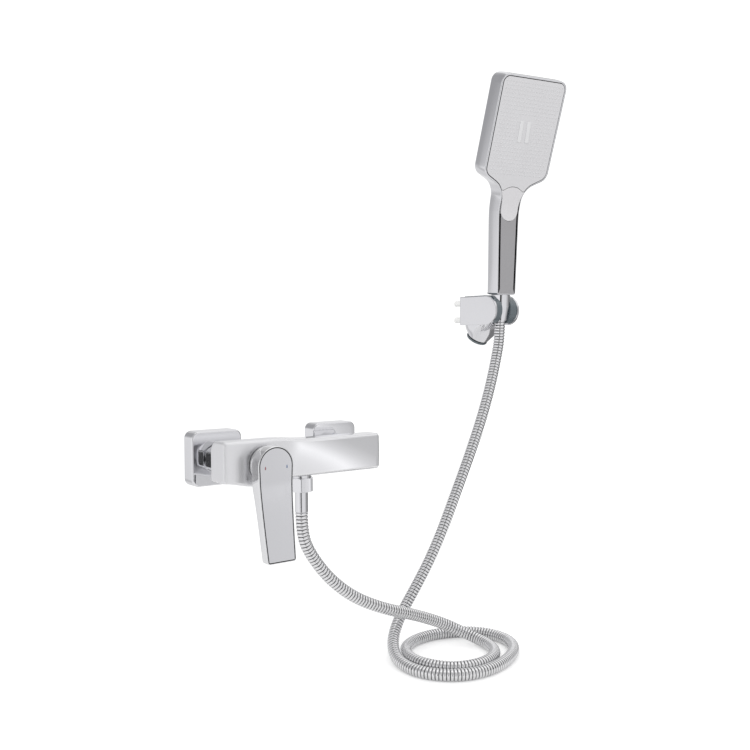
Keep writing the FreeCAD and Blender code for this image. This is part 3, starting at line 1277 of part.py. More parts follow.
def grip_panel():
    """Satin front panel of the handle."""
    front = -HANDLE_DEPTH / 2
    panel = handle_bar(GRIP_INSET + 0.3, GRIP_BOTTOM + 0.3, BUTTON_BOTTOM + 7.7, front - 8,
                       front + GRIP_THICKNESS)
    trimmed = panel.common(Part.makeBox(60, GRIP_THICKNESS, 150, Vector(-30, front, 0)))
    tongue = button_region(BUTTON_HALF + BUTTON_GAP, BUTTON_TOP, BUTTON_BOTTOM - BUTTON_GAP - 0.3, -8, 9)
    return trimmed.cut(tongue)


def bracket_side(inset, top):
    """The bracket seen from the side: flat top and bottom and one round front, as (y, z) corners."""
    front = -BRACKET_FRONT + inset
    low = BRACKET_BOTTOM + inset
    radius = (top - low) / 2 - 0.01
    return [(-WALL_PLATE, low, 0), (-WALL_PLATE, top, 0), (front, top, radius), (front, low, radius)]


def bracket_prism(inset, top, x_from, x_to):
    """The side view pushed across."""
    return prism(bracket_side(inset, top), lambda a, b: Vector(x_from, a, b), Vector(x_to - x_from, 0, 0))


def rear_axis():
    """Direction of the rear seat, downwards."""
    return (REAR_SEAT_BOTTOM - REAR_SEAT_TOP).normalize()


def chin_rod(radius, begin, end):
    """A round bar on the rear seat's axis, between distances measured up from its lower end."""
    axis = rear_axis()
    return rod(REAR_SEAT_BOTTOM - axis * end, axis, radius, end - begin)


def bracket_wall_plate():
    """Back plate with two countersunk holes, behind the housing."""
    plate = rounded_box(Vector(BRACKET_LEFT, -WALL_PLATE, BRACKET_BOTTOM - 0.6),
                        Vector(BRACKET_LEFT + BRACKET_WIDTH, 0, BRACKET_TOP), PLATE_CORNER, Vector(0, 1, 0))
    cuts = []
    for x, z in screw_places():
        cuts.append(rod_out(x, z, SCREW_RADIUS + 0.3, -1, WALL_PLATE + 1))
        cuts.append(rod_out(x, z, SCREW_HEAD_RADIUS + 0.2,
                            WALL_PLATE - HEAD_SINK - HEAD_HEIGHT, WALL_PLATE + 1))
    return plate.cut(cuts)


def screw_places():
    """The two screws, one above the other."""
    x = BRACKET_LEFT + BRACKET_WIDTH / 2
    middle = (BRACKET_TOP + BRACKET_BOTTOM) / 2
    return ((x, middle - SCREW_SPACING / 2), (x, middle + SCREW_SPACING / 2))


def bracket_screws():
    """Two wood screws."""
    screws = []
    for x, z in screw_places():
        head = rod_out(x, z, SCREW_HEAD_RADIUS, WALL_PLATE - HEAD_SINK - HEAD_HEIGHT, WALL_PLATE - HEAD_SINK)
        shank = rod_out(x, z, SCREW_RADIUS, SCREW_SHORT - SCREW_LENGTH,
                        WALL_PLATE - HEAD_SINK - HEAD_HEIGHT / 2)
        screws.append(head.fuse(shank).removeSplitter())
    return Part.makeCompound(screws)


def bracket_anchors():
    """Two wall plugs round the screws."""
    plugs = []
    for x, z in screw_places():
        plugs.append(sleeve_out(x, z, ANCHOR_RADIUS, SCREW_RADIUS + ANCHOR_GAP, -SCREW_LENGTH, 0))
    return Part.makeCompound(plugs)


def bracket_housing():
    """Chromed housing: two rounded cheeks, a back web and a leaning chin below."""
    left = BRACKET_LEFT
    right = BRACKET_LEFT + BRACKET_WIDTH
    outer = bracket_prism(0, BRACKET_TOP, left, right)
    chin_top = (REAR_SEAT_TOP - REAR_SEAT_BOTTOM).Length * CHIN_SHARE
    chin = chin_rod(CHIN_RADIUS, 0, chin_top)
    behind = Part.makeBox(80, 30, 120, Vector(left - 20, -WALL_PLATE, BRACKET_BOTTOM - 50))
    shell = outer.fuse(chin.cut(behind)).removeSplitter()
    room = Part.makeBox(BRACKET_WIDTH - 2 * CHEEK, BRACKET_FRONT, 60,
                        Vector(left + CHEEK, -BRACKET_FRONT - 10, BRACKET_BOTTOM + CHEEK))
    room.translate(Vector(0, 10 - WALL_PLATE - BACK_WEB, 0))
    open_front = Part.makeBox(BRACKET_WIDTH - 2 * CHEEK, 40, 60,
                              Vector(left + CHEEK, -BRACKET_FRONT - 10, BRACKET_BOTTOM - 5))
    chin_room = chin_rod(CHIN_RADIUS - CHIN_WALL, -1, chin_top + 20)
    front_half = open_front.cut(chin_rod(CHIN_RADIUS, -1, chin_top))
    return shell.cut([room, chin_room, front_half])


def bracket_liner():
    """Dark liner with the front seat, its slot and the rear seat."""
    left = BRACKET_LEFT + CHEEK + LINER_GAP
    right = BRACKET_LEFT + BRACKET_WIDTH - CHEEK - LINER_GAP
    block = bracket_prism(0.3, BRACKET_LINER_TOP, left, right)
    keep = Part.makeBox(100, BRACKET_FRONT, 60,
                        Vector(left - 20, -BRACKET_FRONT - WALL_PLATE - BACK_WEB - LINER_GAP,
                               BRACKET_BOTTOM + CHEEK + LINER_GAP))
    block = block.common(keep)
    collar_length = (REAR_SEAT_TOP - REAR_SEAT_BOTTOM).Length * CHIN_SHARE
    collar = chin_rod(CHIN_RADIUS - CHIN_WALL - LINER_GAP, 0, collar_length)
    wall_side = Part.makeBox(100, 30, 120, Vector(left - 30, -WALL_PLATE - BACK_WEB - LINER_GAP,
                                                  BRACKET_BOTTOM - 50))
    axis = rear_axis()
    lip = Part.makeCone(CHIN_RADIUS - 0.4, COLLAR_TIP_RADIUS, COLLAR_DROP,
                        REAR_SEAT_BOTTOM + axis * 0.1, axis)
    lip_neck = chin_rod(CHIN_RADIUS - CHIN_WALL - LINER_GAP, -0.2, 1)
    behind_wall = Part.makeBox(100, 30, 120, Vector(left - 30, -0.3, BRACKET_BOTTOM - 50))
    solid = block.fuse([collar.cut(wall_side), lip_neck, lip.cut(behind_wall)]).removeSplitter()
    length = (REAR_SEAT_TOP - REAR_SEAT_BOTTOM).Length
    rear_hole = Part.makeCone(REAR_SEAT_TOP_RADIUS, REAR_SEAT_LOW_RADIUS, length + COLLAR_DROP + 2,
                              REAR_SEAT_TOP - axis, axis)
    seat = turned([(0, -3), (CONE_RADIUS + CONE_GAP, -3), (CONE_RADIUS + CONE_GAP, CONE_STRAIGHT),
                   (CONE_TIP_RADIUS + CONE_GAP, CONE_LENGTH), (CONE_TIP_RADIUS + CONE_GAP, 45), (0, 45)],
                  along_seat(-0.1), SEAT_AXIS * -1)
    slot = Part.makeBox(HOSE_SLOT, 40, 80, Vector(-HOSE_SLOT / 2, -40, -60))
    slot.Placement = Placement(SEAT_POINT, Rotation(Vector(1, 0, 0), LEAN_FORWARD))
    return solid.cut([rear_hole, seat, slot])


def main():
    """Makes every piece and writes it."""
    os.makedirs("parts", exist_ok=True)
    for x, side in ((LEFT_X, "left"), (RIGHT_X, "right")):
        save(eccentric_union(x), "eccentric_union_" + side)
        save(rosette(x), "rosette_" + side)
        save(union_washer(x), "union_washer_" + side)
        save(inlet_nipple(x), "inlet_nipple_" + side)
        save(union_nut(x), "union_nut_" + side)
    save(mixer_body(), "mixer_body")
    save(cartridge_base(), "cartridge_base")
    save(cartridge_seals(), "cartridge_seals")
    save(fixed_disc(), "fixed_disc")
    save(moving_disc(), "moving_disc")
    save(disc_carrier(), "disc_carrier")
    save(cartridge_housing(), "cartridge_housing")
    save(cartridge_rotor(), "cartridge_rotor")
    save(pivot_pin(), "pivot_pin")
    save(cartridge_stem(), "cartridge_stem")
    save(cartridge_nut(), "cartridge_nut")
    save(cover_dome(), "cover_dome")
    save(lever_handle(), "lever_handle")
    save(lever_plate(), "lever_plate")
    save(mark_block(-1, 0), "hot_mark")
    save(mark_block(1, 0), "cold_mark")
    save(grub_screw(), "grub_screw")
    save(outlet_nipple(), "outlet_nipple")
    save(check_valve(), "check_valve")
    down = Vector(0, 0, -1)
    up_end = SEAT_AXIS * -1
    save(hose_washer(Vector(OUTLET_X, OUTLET_Y, TAIL_TOP + HOSE_WASHER), down, TAIL_RADIUS_LOWER),
         "hose_washer_mixer")
    save(hose_nut(), "hose_nut")
    save(hose_tail(Vector(OUTLET_X, OUTLET_Y, TAIL_TOP), down, TAIL_RADIUS_LOWER, TAIL_NECK_LOWER),
         "hose_tail_lower")
    save(ferrule(Vector(OUTLET_X, OUTLET_Y, FERRULE_TOP), down, FERRULE_LENGTH), "ferrule_lower")
    edges = span_edges(rounded_route(hose_route()))
    save(shower_hose(edges), "shower_hose")
    save(hose_liner(edges), "hose_liner")
    save(ferrule(along_seat(UPPER_FERRULE_TOP), up_end, UPPER_FERRULE_LENGTH), "ferrule_upper")
    save(hose_tail(along_seat(CONE_TAIL_TOP), up_end, TAIL_RADIUS_UPPER, TAIL_NECK_UPPER),
         "hose_tail_upper")
    save(hose_washer(along_seat(CONE_WASHER_TOP), up_end, TAIL_RADIUS_UPPER), "hose_washer_handset")
    save(cone_nut(), "cone_nut")
    outer = handset_outer()
    holes = nozzle_pins(NOZZLE_RADIUS + NOZZLE_GAP, -3, FACE_THICKNESS + 1)
    slots = slot_bars(0, -3, FACE_THICKNESS + MAT_THICKNESS + 0.05)
    for shape, name in ((handset_back_shell(outer), "handset_back_shell"),
                        (face_plate(holes, slots), "face_plate"), (nozzle_mat(slots), "nozzle_mat"),
                        (middle_jets(), "middle_jets"), (spray_chamber(), "spray_chamber"),
                        (mode_button(), "mode_button"), (button_spring(), "button_spring"),
                        (mode_valve(), "mode_valve"), (grip_panel(), "grip_panel"),
                        (water_tube(), "water_tube"), (thread_spigot(), "thread_spigot"),
                        (flow_strainer(), "flow_strainer")):
        save(in_hand(shape), name)
    save(bracket_wall_plate(), "bracket_wall_plate")
    save(bracket_screws(), "bracket_screws")
    save(bracket_anchors(), "bracket_anchors")
    save(bracket_housing(), "bracket_housing")
    save(bracket_liner(), "bracket_liner")


main()
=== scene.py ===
"""Looks of a wall-mounted shower mixer with its ribbed hose, square hand shower and wall bracket."""
import contextlib
import json
import math

import bmesh
import bpy
import numpy as np
from mathutils import Matrix, Vector


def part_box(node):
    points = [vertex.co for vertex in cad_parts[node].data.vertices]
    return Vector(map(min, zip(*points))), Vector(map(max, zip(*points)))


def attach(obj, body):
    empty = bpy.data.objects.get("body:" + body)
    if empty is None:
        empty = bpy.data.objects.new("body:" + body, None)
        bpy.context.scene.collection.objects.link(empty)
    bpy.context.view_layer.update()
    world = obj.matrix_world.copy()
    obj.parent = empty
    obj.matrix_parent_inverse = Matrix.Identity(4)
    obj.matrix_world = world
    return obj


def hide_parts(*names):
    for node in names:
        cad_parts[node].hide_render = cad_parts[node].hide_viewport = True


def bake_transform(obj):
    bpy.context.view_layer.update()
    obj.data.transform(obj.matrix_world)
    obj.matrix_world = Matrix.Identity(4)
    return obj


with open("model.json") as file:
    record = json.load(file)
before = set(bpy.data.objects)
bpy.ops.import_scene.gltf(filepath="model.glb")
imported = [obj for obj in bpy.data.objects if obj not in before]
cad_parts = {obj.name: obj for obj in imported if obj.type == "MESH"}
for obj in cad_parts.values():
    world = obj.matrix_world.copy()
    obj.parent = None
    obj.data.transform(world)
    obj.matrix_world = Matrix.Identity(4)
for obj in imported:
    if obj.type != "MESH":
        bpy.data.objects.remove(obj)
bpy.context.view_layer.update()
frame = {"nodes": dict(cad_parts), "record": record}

# Shapes are worked out in millimetres and put into metres when a mesh is made
MM = 0.001


def node_box(node):
    """A node's lowest and highest corners in millimetres, to the hundredth."""
    return [np.round(np.array(corner) / MM, 2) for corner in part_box(node)]


def node_middle(node):
    """The middle of a node's box."""
    low, high = node_box(node)
    return (low + high) / 2


# Directions, and the tone of white
OUTWARDS = (0, -1, 0)
DOWN = (0, 0, -1)
WHITE = (1, 1, 1, 1)

# Square covers on the wall
COVER_LOW, COVER_HIGH = node_box("rosette_right")
INLET_X, AXIS_Z = node_middle("rosette_right")[[0, 2]]
COVER_HALF = (COVER_HIGH - COVER_LOW)[0] / 2
COVER_DEPTH = -COVER_LOW[1]
COVER_CORNER = 8.0
COVER_ROUND = 2.0
COVER_WALL = 1.2
COVER_HOLE = 13.4

# Nuts: from flat to flat, and the radius of the bore
UNION_FLATS = 30.0
UNION_BORE = 10.88
HOSE_NUT_FLATS = 24.0
HOSE_NUT_BORE = 6.95
NUT_STEPS = 144

# Dished ring behind the lever, and under it a black ring of painted shadow where it meets the body, as
# (radius, distance off the body, corner)
CARTRIDGE_X, CARTRIDGE_Z = node_middle("cover_dome")[[0, 2]]
BODY_FRONT = -node_box("cover_dome")[1][1]
SHADOW_GAP_RING = [(18.2, 0.0, 0.1), (18.2, 1.8, 0.1), (16.8, 1.8, 0.1), (16.8, 0.0, 0.1)]
DOME_RING = [(19.0, 1.7, 0.3), (18.6, 3.9, 1.2), (16.0, 6.6, 1.8), (11.0, 6.6, 0.4),
             (11.0, 5.4, 0.3), (14.8, 5.4, 1.0), (17.0, 3.3, 0.8), (17.4, 1.7, 0.2)]

# Mixer body: heights above and below its axis, how much they draw in along it, and from where to where
BODY_HALF, BODY_BACK = node_box("mixer_body")[1][:2] * (1, -1)
BODY_TOP = 22.4
BODY_TOP_FALL = 2.6
BODY_TOP_RANGE = (-40, 10)
BODY_BOTTOM = 25.0
BODY_LEFT_RISE = 5.5
BODY_LEFT_RANGE = (-60, -BODY_HALF)
BODY_RIGHT_RISE = 5.0
BODY_RIGHT_RANGE = (-40, -14)
BODY_BACK_ROUND = 11.0
BODY_FRONT_ROUND = 3.5
BODY_LOW_ROUND = 2.5
BODY_CROWN = 0.7
BODY_CROWN_ROUND = 340.0
BODY_END_ROUND = 2.6
OUTLET_X, OUTLET_DEPTH = node_middle("outlet_nipple")[:2] * (1, -1)

# Roughness that the body's finish gains left of the lever and at its left end, each as x from and to in
# metres, and how much at these two places
SATIN_RANGE = (-0.03, -0.005, 0.27, 0.0)
END_SATIN_RANGE = (-0.0955, -0.091, 0.3, 0.0)

# Lever: its outline in front view, its front, and its back, which starts at the rim's depth
LEVER_LOW, LEVER_HIGH = node_box("lever_handle")
LEVER_RADIUS = (LEVER_HIGH - LEVER_LOW)[0] / 2
LEVER_LENGTH = CARTRIDGE_Z - LEVER_LOW[2]
LEVER_RIM = -LEVER_HIGH[1]
LEVER_TIP_HALF = 16.7
LEVER_CORNER = 3.0
LEVER_FRONT = 97.6
LEVER_REACH = 10.8
LEVER_KNEE = 17.5
LEVER_BACK_REACH = 15.7
LEVER_BACK_KNEE = 22.5
LEVER_TOP_LEAN = 1.6
LEVER_EDGE = 1.2
HOLLOW_RADIUS = 17.8
HOLLOW_DEPTH = 92.0
BOSS_RING = [(3.6, 86.5, 0.2), (7.5, 86.5, 0.5), (7.5, 92.6, 0.2), (3.6, 92.6, 0.2)]
PLATE_INSET = 2.0
MARK_SIDE = 12.5
MARK_DROP = 1.0

# Hose, hung between the mixer's outlet and the hand shower: its radii at crest and valley, its steps round,
# the places of its upper end along the seat's axis, and the shares of a rib's pitch and height at which its
# rings lie
HOSE_CREST = 6.75
HOSE_VALLEY = 5.85
HOSE_STEPS = 26
UPPER_FERRULE_TOP = -16.4
UPPER_FERRULE_LENGTH = 18.6
HOSE_LAST_BEND = -57.0
RIB_PITCH = 3.7
RIB_SHARES = [0.0, 0.08, 0.14, 0.26, 0.5, 0.74, 0.86, 0.92]
RIB_RISES = [0.0, 0.0, 0.62, 0.92, 1.0, 0.92, 0.62, 0.0]
FLOOR_Z = node_box("shower_hose")[0][2]
FLOOR_LINE = FLOOR_Z + HOSE_CREST

# Hand shower, in its own frame: up its handle, with the spray side towards -Y
SEAT = np.array([307.9, -54.0, 188.7])
LEAN_FORWARD = 2.87
LEAN_SIDE = -0.69
TURN_IN_SEAT = -9.6
HANDLE_HALF = 13.85
HANDLE_DEPTH = 25.0
HEAD_DEPTH = 27.6
THICKENING = (95, 135)
FACE_TILT = 17.6
BEND_HEIGHT = 104.44
BEND_SPREAD = 13.0
HEAD_HALF = 47.6
HEAD_TOP = 264.95
NECK_HALF = 15.6
NECK_LOW = 103
SHOULDER_LOW = 131.15
SHOULDER_HIGH = 146.75
RIM_WIDTH = 1.3
RIM_WIDENING = (122, 148)
HEAD_RIM_SHARE = 0.75
SHELL_BULGE = 0.3
SHELL_BACK_ROUND = 5.0
SEAM_DEPTH = 4.8
SEAM_INSET = 1.75
GRIP_SEAM_INSET = 3.8
PANEL_DEPTH = 1.7

# Button, half round below, and wider and arched above, and the grip panel under it
TONGUE_RADIUS = 12.5
TONGUE_CENTRE = 104.3
TONGUE_TOP = 134.2
TONGUE_DROP = 5.1
TONGUE_ARCH_HALF = 14.0
TONGUE_WIDENING = (TONGUE_CENTRE + 3, TONGUE_CENTRE + 21)
TONGUE_SEAM = 0.5
TONGUE_CROWN = 0.45
TONGUE_HEIGHT = 42.0
GRIP_FOOT = 5.0
GRIP_HEIGHT = 90.0

# Spray face: the nozzles' spacing, a nozzle's (radius, depth) rings, and the two leaning bars as their
# sides' places below and above, whose heights are counted along the face
NUB_PITCH = 4.5
NUB_COLUMNS = 19
NUB_ROWS = 25
NUB_FIRST = 149.5
NUB_RINGS = [(1.2, 0.2), (1.15, -0.06), (0.85, -0.26), (0.4, -0.32)]
FACE_OFFSET = 90.55
BAR_LOW = 97.5
BAR_HIGH = 123.0
BAR_SIDES = [(-9.2, -3.8, -10.4, -5.4), (2.1, 7.5, -0.1, 5.1)]
BAR_FIELD = (-13.5, 10.5)
BAR_CLEAR = 4.0

# Bracket: two cheeks, a chin under them, a tilted collar in the chin's mouth, the height above which
# the lining shows, and how far the wall plate reaches into the cheeks and stays below their tops
BRACKET_LEFT, BRACKET_RIGHT = (corner[0] for corner in node_box("bracket_housing"))
BRACKET_MIDDLE = 168.75
BRACKET_HALF = 18.4
BRACKET_BACK = 0.4
BRACKET_ROUND = 47.7
CHEEK = 3.6
CHEEK_CORNER = 0.8
CHIN_TOP = 153.5
CHIN_MIDDLE = (308.05, -26.0)
CHIN_HALF = (20.6, 20.4)
CHIN_POWER = (0.42, 0.6)
CHIN_BELLY = 2.2
COLLAR_CENTRE = np.array([308.05, -12.6, 136.5])
COLLAR_TILT = 36.0
COLLAR_RADIUS = 14.6
COLLAR_STEPS = 64
LINER_CUT = 151.2
WALL_PLATE_TUCK = 0.8
WALL_PLATE_SHY = 0.6

# Studio: tones round the horizon as (azimuth, tone), those of the other panels, and their ranges in
# degrees, from where a panel begins to where it is full
AROUND = [(-180, 0.80), (-174, 0.74), (-166, 0.60), (-161.5, 0.66), (-158, 0.82), (-151, 0.90),
          (-136, 0.88), (-110, 0.95), (-60, 1.0), (-54, 1.0), (-51, 0.04), (-35.5, 0.04), (-33.2, 0.9),
          (-31.9, 0.9), (-31.3, 0.05), (-27.5, 0.05), (-26.6, 0.9), (0, 0.86), (27, 0.81), (29.4, 0.87),
          (30.2, 1.12), (31.0, 1.12), (33.0, 0.60), (45, 0.55), (60, 0.45), (70, 0.22), (128, 0.22),
          (134, 0.85), (150, 0.8), (160, 0.75), (180, 0.80)]
BRIGHTEST = 1.15
ABOVE_LEFT = (0.46, 0.46, 0.465, 1)
ABOVE_RIGHT = (0.82, 0.82, 0.825, 1)
LEFT_BEHIND = (0.36, 0.36, 0.37, 1)
EVEN_LIGHT = (0.76, 0.76, 0.762, 1)
SLANT_RANGE = (-12.0, 6.0, -4.8, 2.4)
UPPER_SLANT_RANGE = (0.5, 4.0, 0.0, -6.0)
RIGHT_BEGINS = (8.0, 18.0)
RIGHT_ENDS = (160.0, 148.0)
ABOVE_BEGINS = (14.0, 34.0)
BEHIND_BEGINS = (-118.0, -140.0)
BEHIND_RISES = (1.0, 17.0)
OVERHEAD_BEGINS = (60.0, 74.0)

# Floor, lamp and camera, in metres and degrees, and how much the floor glows to the camera and in chrome
FLOOR_HALF = 0.5
FLOOR_MIDDLE = (0.14, -0.1)
FLOOR_GLOW = 0.4
FLOOR_GLOW_IN_CHROME = 0.08
LAMP_PLACE = Vector((-0.9, -1.3, 1.3))
LAMP_AIM = Vector((0.1, 0, -0.05))
LAMP_SIZE = 1.2
LAMP_POWER = 9.0
CAMERA_PLACE = (-0.51153, -0.87574, 0.13248)
CAMERA_TURN = 36.983
CAMERA_PITCH = 2.267
CAMERA_ROLL = -0.218
CAMERA_LENS = 43.2355


def unit(vectors):
    """Vectors divided by their own lengths."""
    return vectors / np.linalg.norm(vectors, axis=-1, keepdims=True)


def ease(value):
    """A smooth step: three times the square less twice the cube, between 0 and 1."""
    value = np.clip(value, 0, 1)
    return value * value * (3 - 2 * value)


def between(value, low, high):
    """How far a value has gone from low to high, eased, from 0 to 1."""
    return ease((value - low) / (high - low))


def round_angles(count):
    """Evenly spaced angles, once round."""
    return np.linspace(0, 2 * math.pi, count, endpoint=False)


def quarter_round(radius, count):
    """Points of a quarter circle as their distances from its side, r(1 - sin), and end, r(1 - cos)."""
    angle = np.linspace(0, math.pi / 2, count)
    return radius * (1 - np.sin(angle)), radius * (1 - np.cos(angle))


def turn(axis, degrees):
    """The 3 by 3 matrix of a turn about x, y or z."""
    return np.array(Matrix.Rotation(math.radians(degrees), 3, axis))


HAND_TURN = turn("Y", LEAN_SIDE) @ turn("X", LEAN_FORWARD) @ turn("Z", TURN_IN_SEAT)
SEAT_AXIS = HAND_TURN[:, 2]


def corner_arcs(corners, steps, closed=True):
    """Straight sides joined by tangent arcs, as points.

    A corner (a, b, r) has its arc's centre on the bisector of its two sides, r / sin(half angle)
    away, and the arc's points turn evenly from one tangent point to the other."""
    corners = np.array(corners, float)
    points, radii = corners[:, :2], corners[:, 2:]
    inner = slice(None) if closed else slice(1, -1)
    back = unit(np.roll(points, 1, 0) - points)[inner]
    ahead = unit(np.roll(points, -1, 0) - points)[inner]
    here, radius = points[inner], radii[inner]
    half = np.arccos(np.clip((back * ahead).sum(1, keepdims=True), -1, 1)) / 2
    centre = here + unit(back + ahead) * radius / np.sin(half)
    first = here + back * radius / np.tan(half) - centre
    last = here + ahead * radius / np.tan(half) - centre
    sweep = (math.pi - 2 * half)[:, None]
    share = np.linspace(0, 1, steps + 1)[None, :, None]
    weights = np.sin((1 - share) * sweep) * first[:, None] + np.sin(share * sweep) * last[:, None]
    arcs = (centre[:, None] + weights / np.sin(sweep)).reshape(-1, 2)
    return arcs if closed else np.vstack([points[:1], arcs, points[-1:]])


def filled(points, gap):
    """The same line with points added so that none is further than a gap from the next."""
    along = np.concatenate([[0], np.cumsum(np.linalg.norm(np.diff(points, axis=0), axis=1))])
    even = np.linspace(0, along[-1], int(along[-1] / gap) + 2)
    nearest = np.abs(even[:, None] - along[None]).min(1)
    every = np.sort(np.concatenate([along, even[nearest > gap / 3]]))
    return np.stack([np.interp(every, along, points[:, axis]) for axis in (0, 1)], 1)


def mirrored(half):
    """A closed loop from its right half, which runs from one end of the middle line to the other."""
    return np.vstack([half, half[::-1] * (-1, 1)])


def drawn_in(half, inset):
    """The right half moved inwards along its normals, which are the averages of its sides' normals."""
    loop = mirrored(half)
    sides = np.roll(loop, -1, 0) - loop
    short = np.linalg.norm(sides, axis=1) < 1e-6
    sides[short] = np.roll(sides, 1, 0)[short]
    sides = unit(sides)
    tangents = unit(sides + np.roll(sides, 1, 0))
    normals = np.stack([tangents[:, 1], -tangents[:, 0]], 1)
    area = np.sum(loop[:, 0] * np.roll(loop[:, 1], -1) - loop[:, 1] * np.roll(loop[:, 0], -1))
    moved = loop - normals * inset * np.sign(area)
    moved = moved[:len(half)]
    moved[:, 0] = np.maximum(moved[:, 0], 0)
    return moved


def rows_across(half, columns=2):
    """Points in rows straight across a half outline: how far across and how far up each lies."""
    across = np.linspace(-1, 1, columns)[None] * half[:, :1]
    return across, np.broadcast_to(half[:, 1:], across.shape)


def loop_at(half, place, depth):
    """The loop of a half outline put in place; its depth is a number or a function of the height."""
    across, up = mirrored(half).T
    return place(across, up, depth(up) if callable(depth) else depth)


def grid_faces(rows, columns, wrap_rows, wrap_columns, start=0):
    """Quads between neighbouring points of a grid, numbered row by row."""
    row = np.arange(rows if wrap_rows else rows - 1)[:, None]
    column = np.arange(columns if wrap_columns else columns - 1)[None]
    below, right = (row + 1) % rows, (column + 1) % columns
    quads = [up * columns + across
             for up, across in ((row, column), (row, right), (below, right), (below, column))]
    return (np.stack(np.broadcast_arrays(*quads), -1).reshape(-1, 4) + start).tolist()


class Shape:
    """Points and faces of one piece, gathered from several surfaces."""

    def __init__(self):
        self.points = []
        self.faces = []
        self.kinds = []
        self.count = 0

    def add(self, grid, wrap_rows=False, wrap_columns=False, kind=0):
        """Adds a grid of points, rows by columns by 3."""
        rows, columns = grid.shape[:2]
        faces = grid_faces(rows, columns, wrap_rows, wrap_columns, self.count)
        self.points.append(grid.reshape(-1, 3))
        self.faces += faces
        self.kinds += [kind] * len(faces)
        self.count += rows * columns
        return self

    def add_ring(self, grid, kind=0):
        """Adds a grid that closes both ways."""
        return self.add(grid, wrap_rows=True, wrap_columns=True, kind=kind)

    def take(self, other):
        """Adds all that another shape has."""
        self.points += other.points
        self.faces += [[index + self.count for index in face] for face in other.faces]
        self.kinds += other.kinds
        self.count += other.count
        return self

    def add_disc(self, ring, kind=0):
        """Closes a flat ring of points with one face."""
        self.points.append(ring)
        self.faces.append(list(range(self.count, self.count + len(ring))))
        self.kinds.append(kind)
        self.count += len(ring)
        return self


@contextlib.contextmanager
def opened(mesh):
    """A mesh opened for work on its faces, and written back after it."""
    work = bmesh.new()
    work.from_mesh(mesh)
    yield work
    work.to_mesh(mesh)
    work.free()


def put_in_scene(name, data):
    """A new object of the scene."""
    thing = bpy.data.objects.new(name, data)
    bpy.context.scene.collection.objects.link(thing)
    return thing


def finish_mesh(name, mesh, materials, body, replaced, sharp):
    """Merges the points, turns the faces outwards, marks sharp edges and puts the piece on its body."""
    with opened(mesh) as work:
        bmesh.ops.remove_doubles(work, verts=work.verts, dist=2e-6)
        bmesh.ops.dissolve_degenerate(work, edges=work.edges, dist=1e-6)
        bmesh.ops.recalc_face_normals(work, faces=work.faces)
    mesh.shade_smooth()
    mesh.set_sharp_from_angle(angle=math.radians(sharp))
    piece = put_in_scene(name, mesh)
    even = piece.modifiers.new("even_normals", "WEIGHTED_NORMAL")
    even.keep_sharp = True
    for material in materials:
        mesh.materials.append(material)
    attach(piece, body)
    if replaced:
        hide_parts(*replaced)
    return piece


def make(name, shape, materials, body, replaced=(), sharp=32):
    """A piece from a gathered shape."""
    mesh = bpy.data.meshes.new(name)
    mesh.from_pydata((np.vstack(shape.points) * MM).tolist(), [], shape.faces)
    mesh.polygons.foreach_set("material_index", shape.kinds)
    return finish_mesh(name, mesh, materials, body, replaced, sharp)


def slab(half, layers, place):
    """A solid stacked from loops: each layer is (inset, depth), drawn in from the same half outline.

    The first and the last loop are closed by rows that run straight across the outline."""
    shape = Shape().add(np.stack([loop_at(drawn_in(half, inset), place, depth) for inset, depth in layers]),
                        wrap_columns=True)
    for inset, depth in (layers[0], layers[-1]):
        shape.add(place(*rows_across(drawn_in(half, inset)), depth))
    return shape


def turned_grid(corners, centre, direction, steps=72, rounding=4):
    """Grid of a ring turned round a direction, from its corners as (radius, distance, corner radius)."""
    profile = corner_arcs(corners, rounding)
    direction = unit(np.array(direction, float))
    side = unit(np.cross(direction, (0.3, 0.5, 0.81)))
    other = np.cross(direction, side)
    angle = round_angles(steps)
    around = np.cos(angle)[:, None] * side + np.sin(angle)[:, None] * other
    return (np.array(centre, float) + profile[:, :1, None] * around[None]
            + profile[:, 1:, None] * direction)


def turned(corners, centre, direction, steps=72):
    """The shape of one turned ring."""
    return Shape().add_ring(turned_grid(corners, centre, direction, steps))


def hexagon_reach(angle, flats, corner, hardness=2.5):
    """Distance from the middle of a hexagon to its side at an angle.

    At a corner the two distances, to the side and to the corner's limit, pass smoothly into each other."""
    from_flat = np.abs((angle + math.pi / 6) % (math.pi / 3) - math.pi / 6)
    side = flats / 2 / np.cos(from_flat)
    limit = flats / math.sqrt(3) - corner
    return -np.log(np.exp(-side * hardness) + np.exp(-limit * hardness)) / hardness


def nut(centre, direction, flats, length, bore, turned_by=0.0):
    """A hexagonal nut: at each depth its reach is the lesser of the hexagon and a chamfer cone."""
    direction = unit(np.array(direction, float))
    side = np.array((1.0, 0, 0)) if abs(direction[0]) < 0.9 else np.array((0, 0, 1.0))
    other = np.cross(direction, side)
    angle = round_angles(NUT_STEPS)
    around = np.cos(angle + turned_by)[:, None] * side + np.sin(angle + turned_by)[:, None] * other
    easing, slope, lip = 0.25, 1.75, 0.15
    near_end = np.array([0, lip, 0.5, 1.0, 1.6, 2.2])
    depth = np.concatenate([near_end, np.linspace(3.2, length - 3.2, 6), length - near_end[::-1]])
    from_end = np.minimum(depth, length - depth)
    cone = flats / 2 - easing + slope * from_end + easing * np.sqrt(np.minimum(from_end, lip) / lip)
    reach = np.minimum(hexagon_reach(angle, flats, easing)[None], cone[:, None])
    outer = reach[..., None] * around + depth[:, None, None] * direction
    inner_depth = np.array([length, length - 0.4, 0.4, 0])
    inner_reach = np.array([bore + 0.4, bore, bore, bore + 0.4])
    inner = inner_reach[:, None, None] * around + inner_depth[:, None, None] * direction
    return Shape().add_ring(np.array(centre, float) + np.concatenate([outer, inner]))


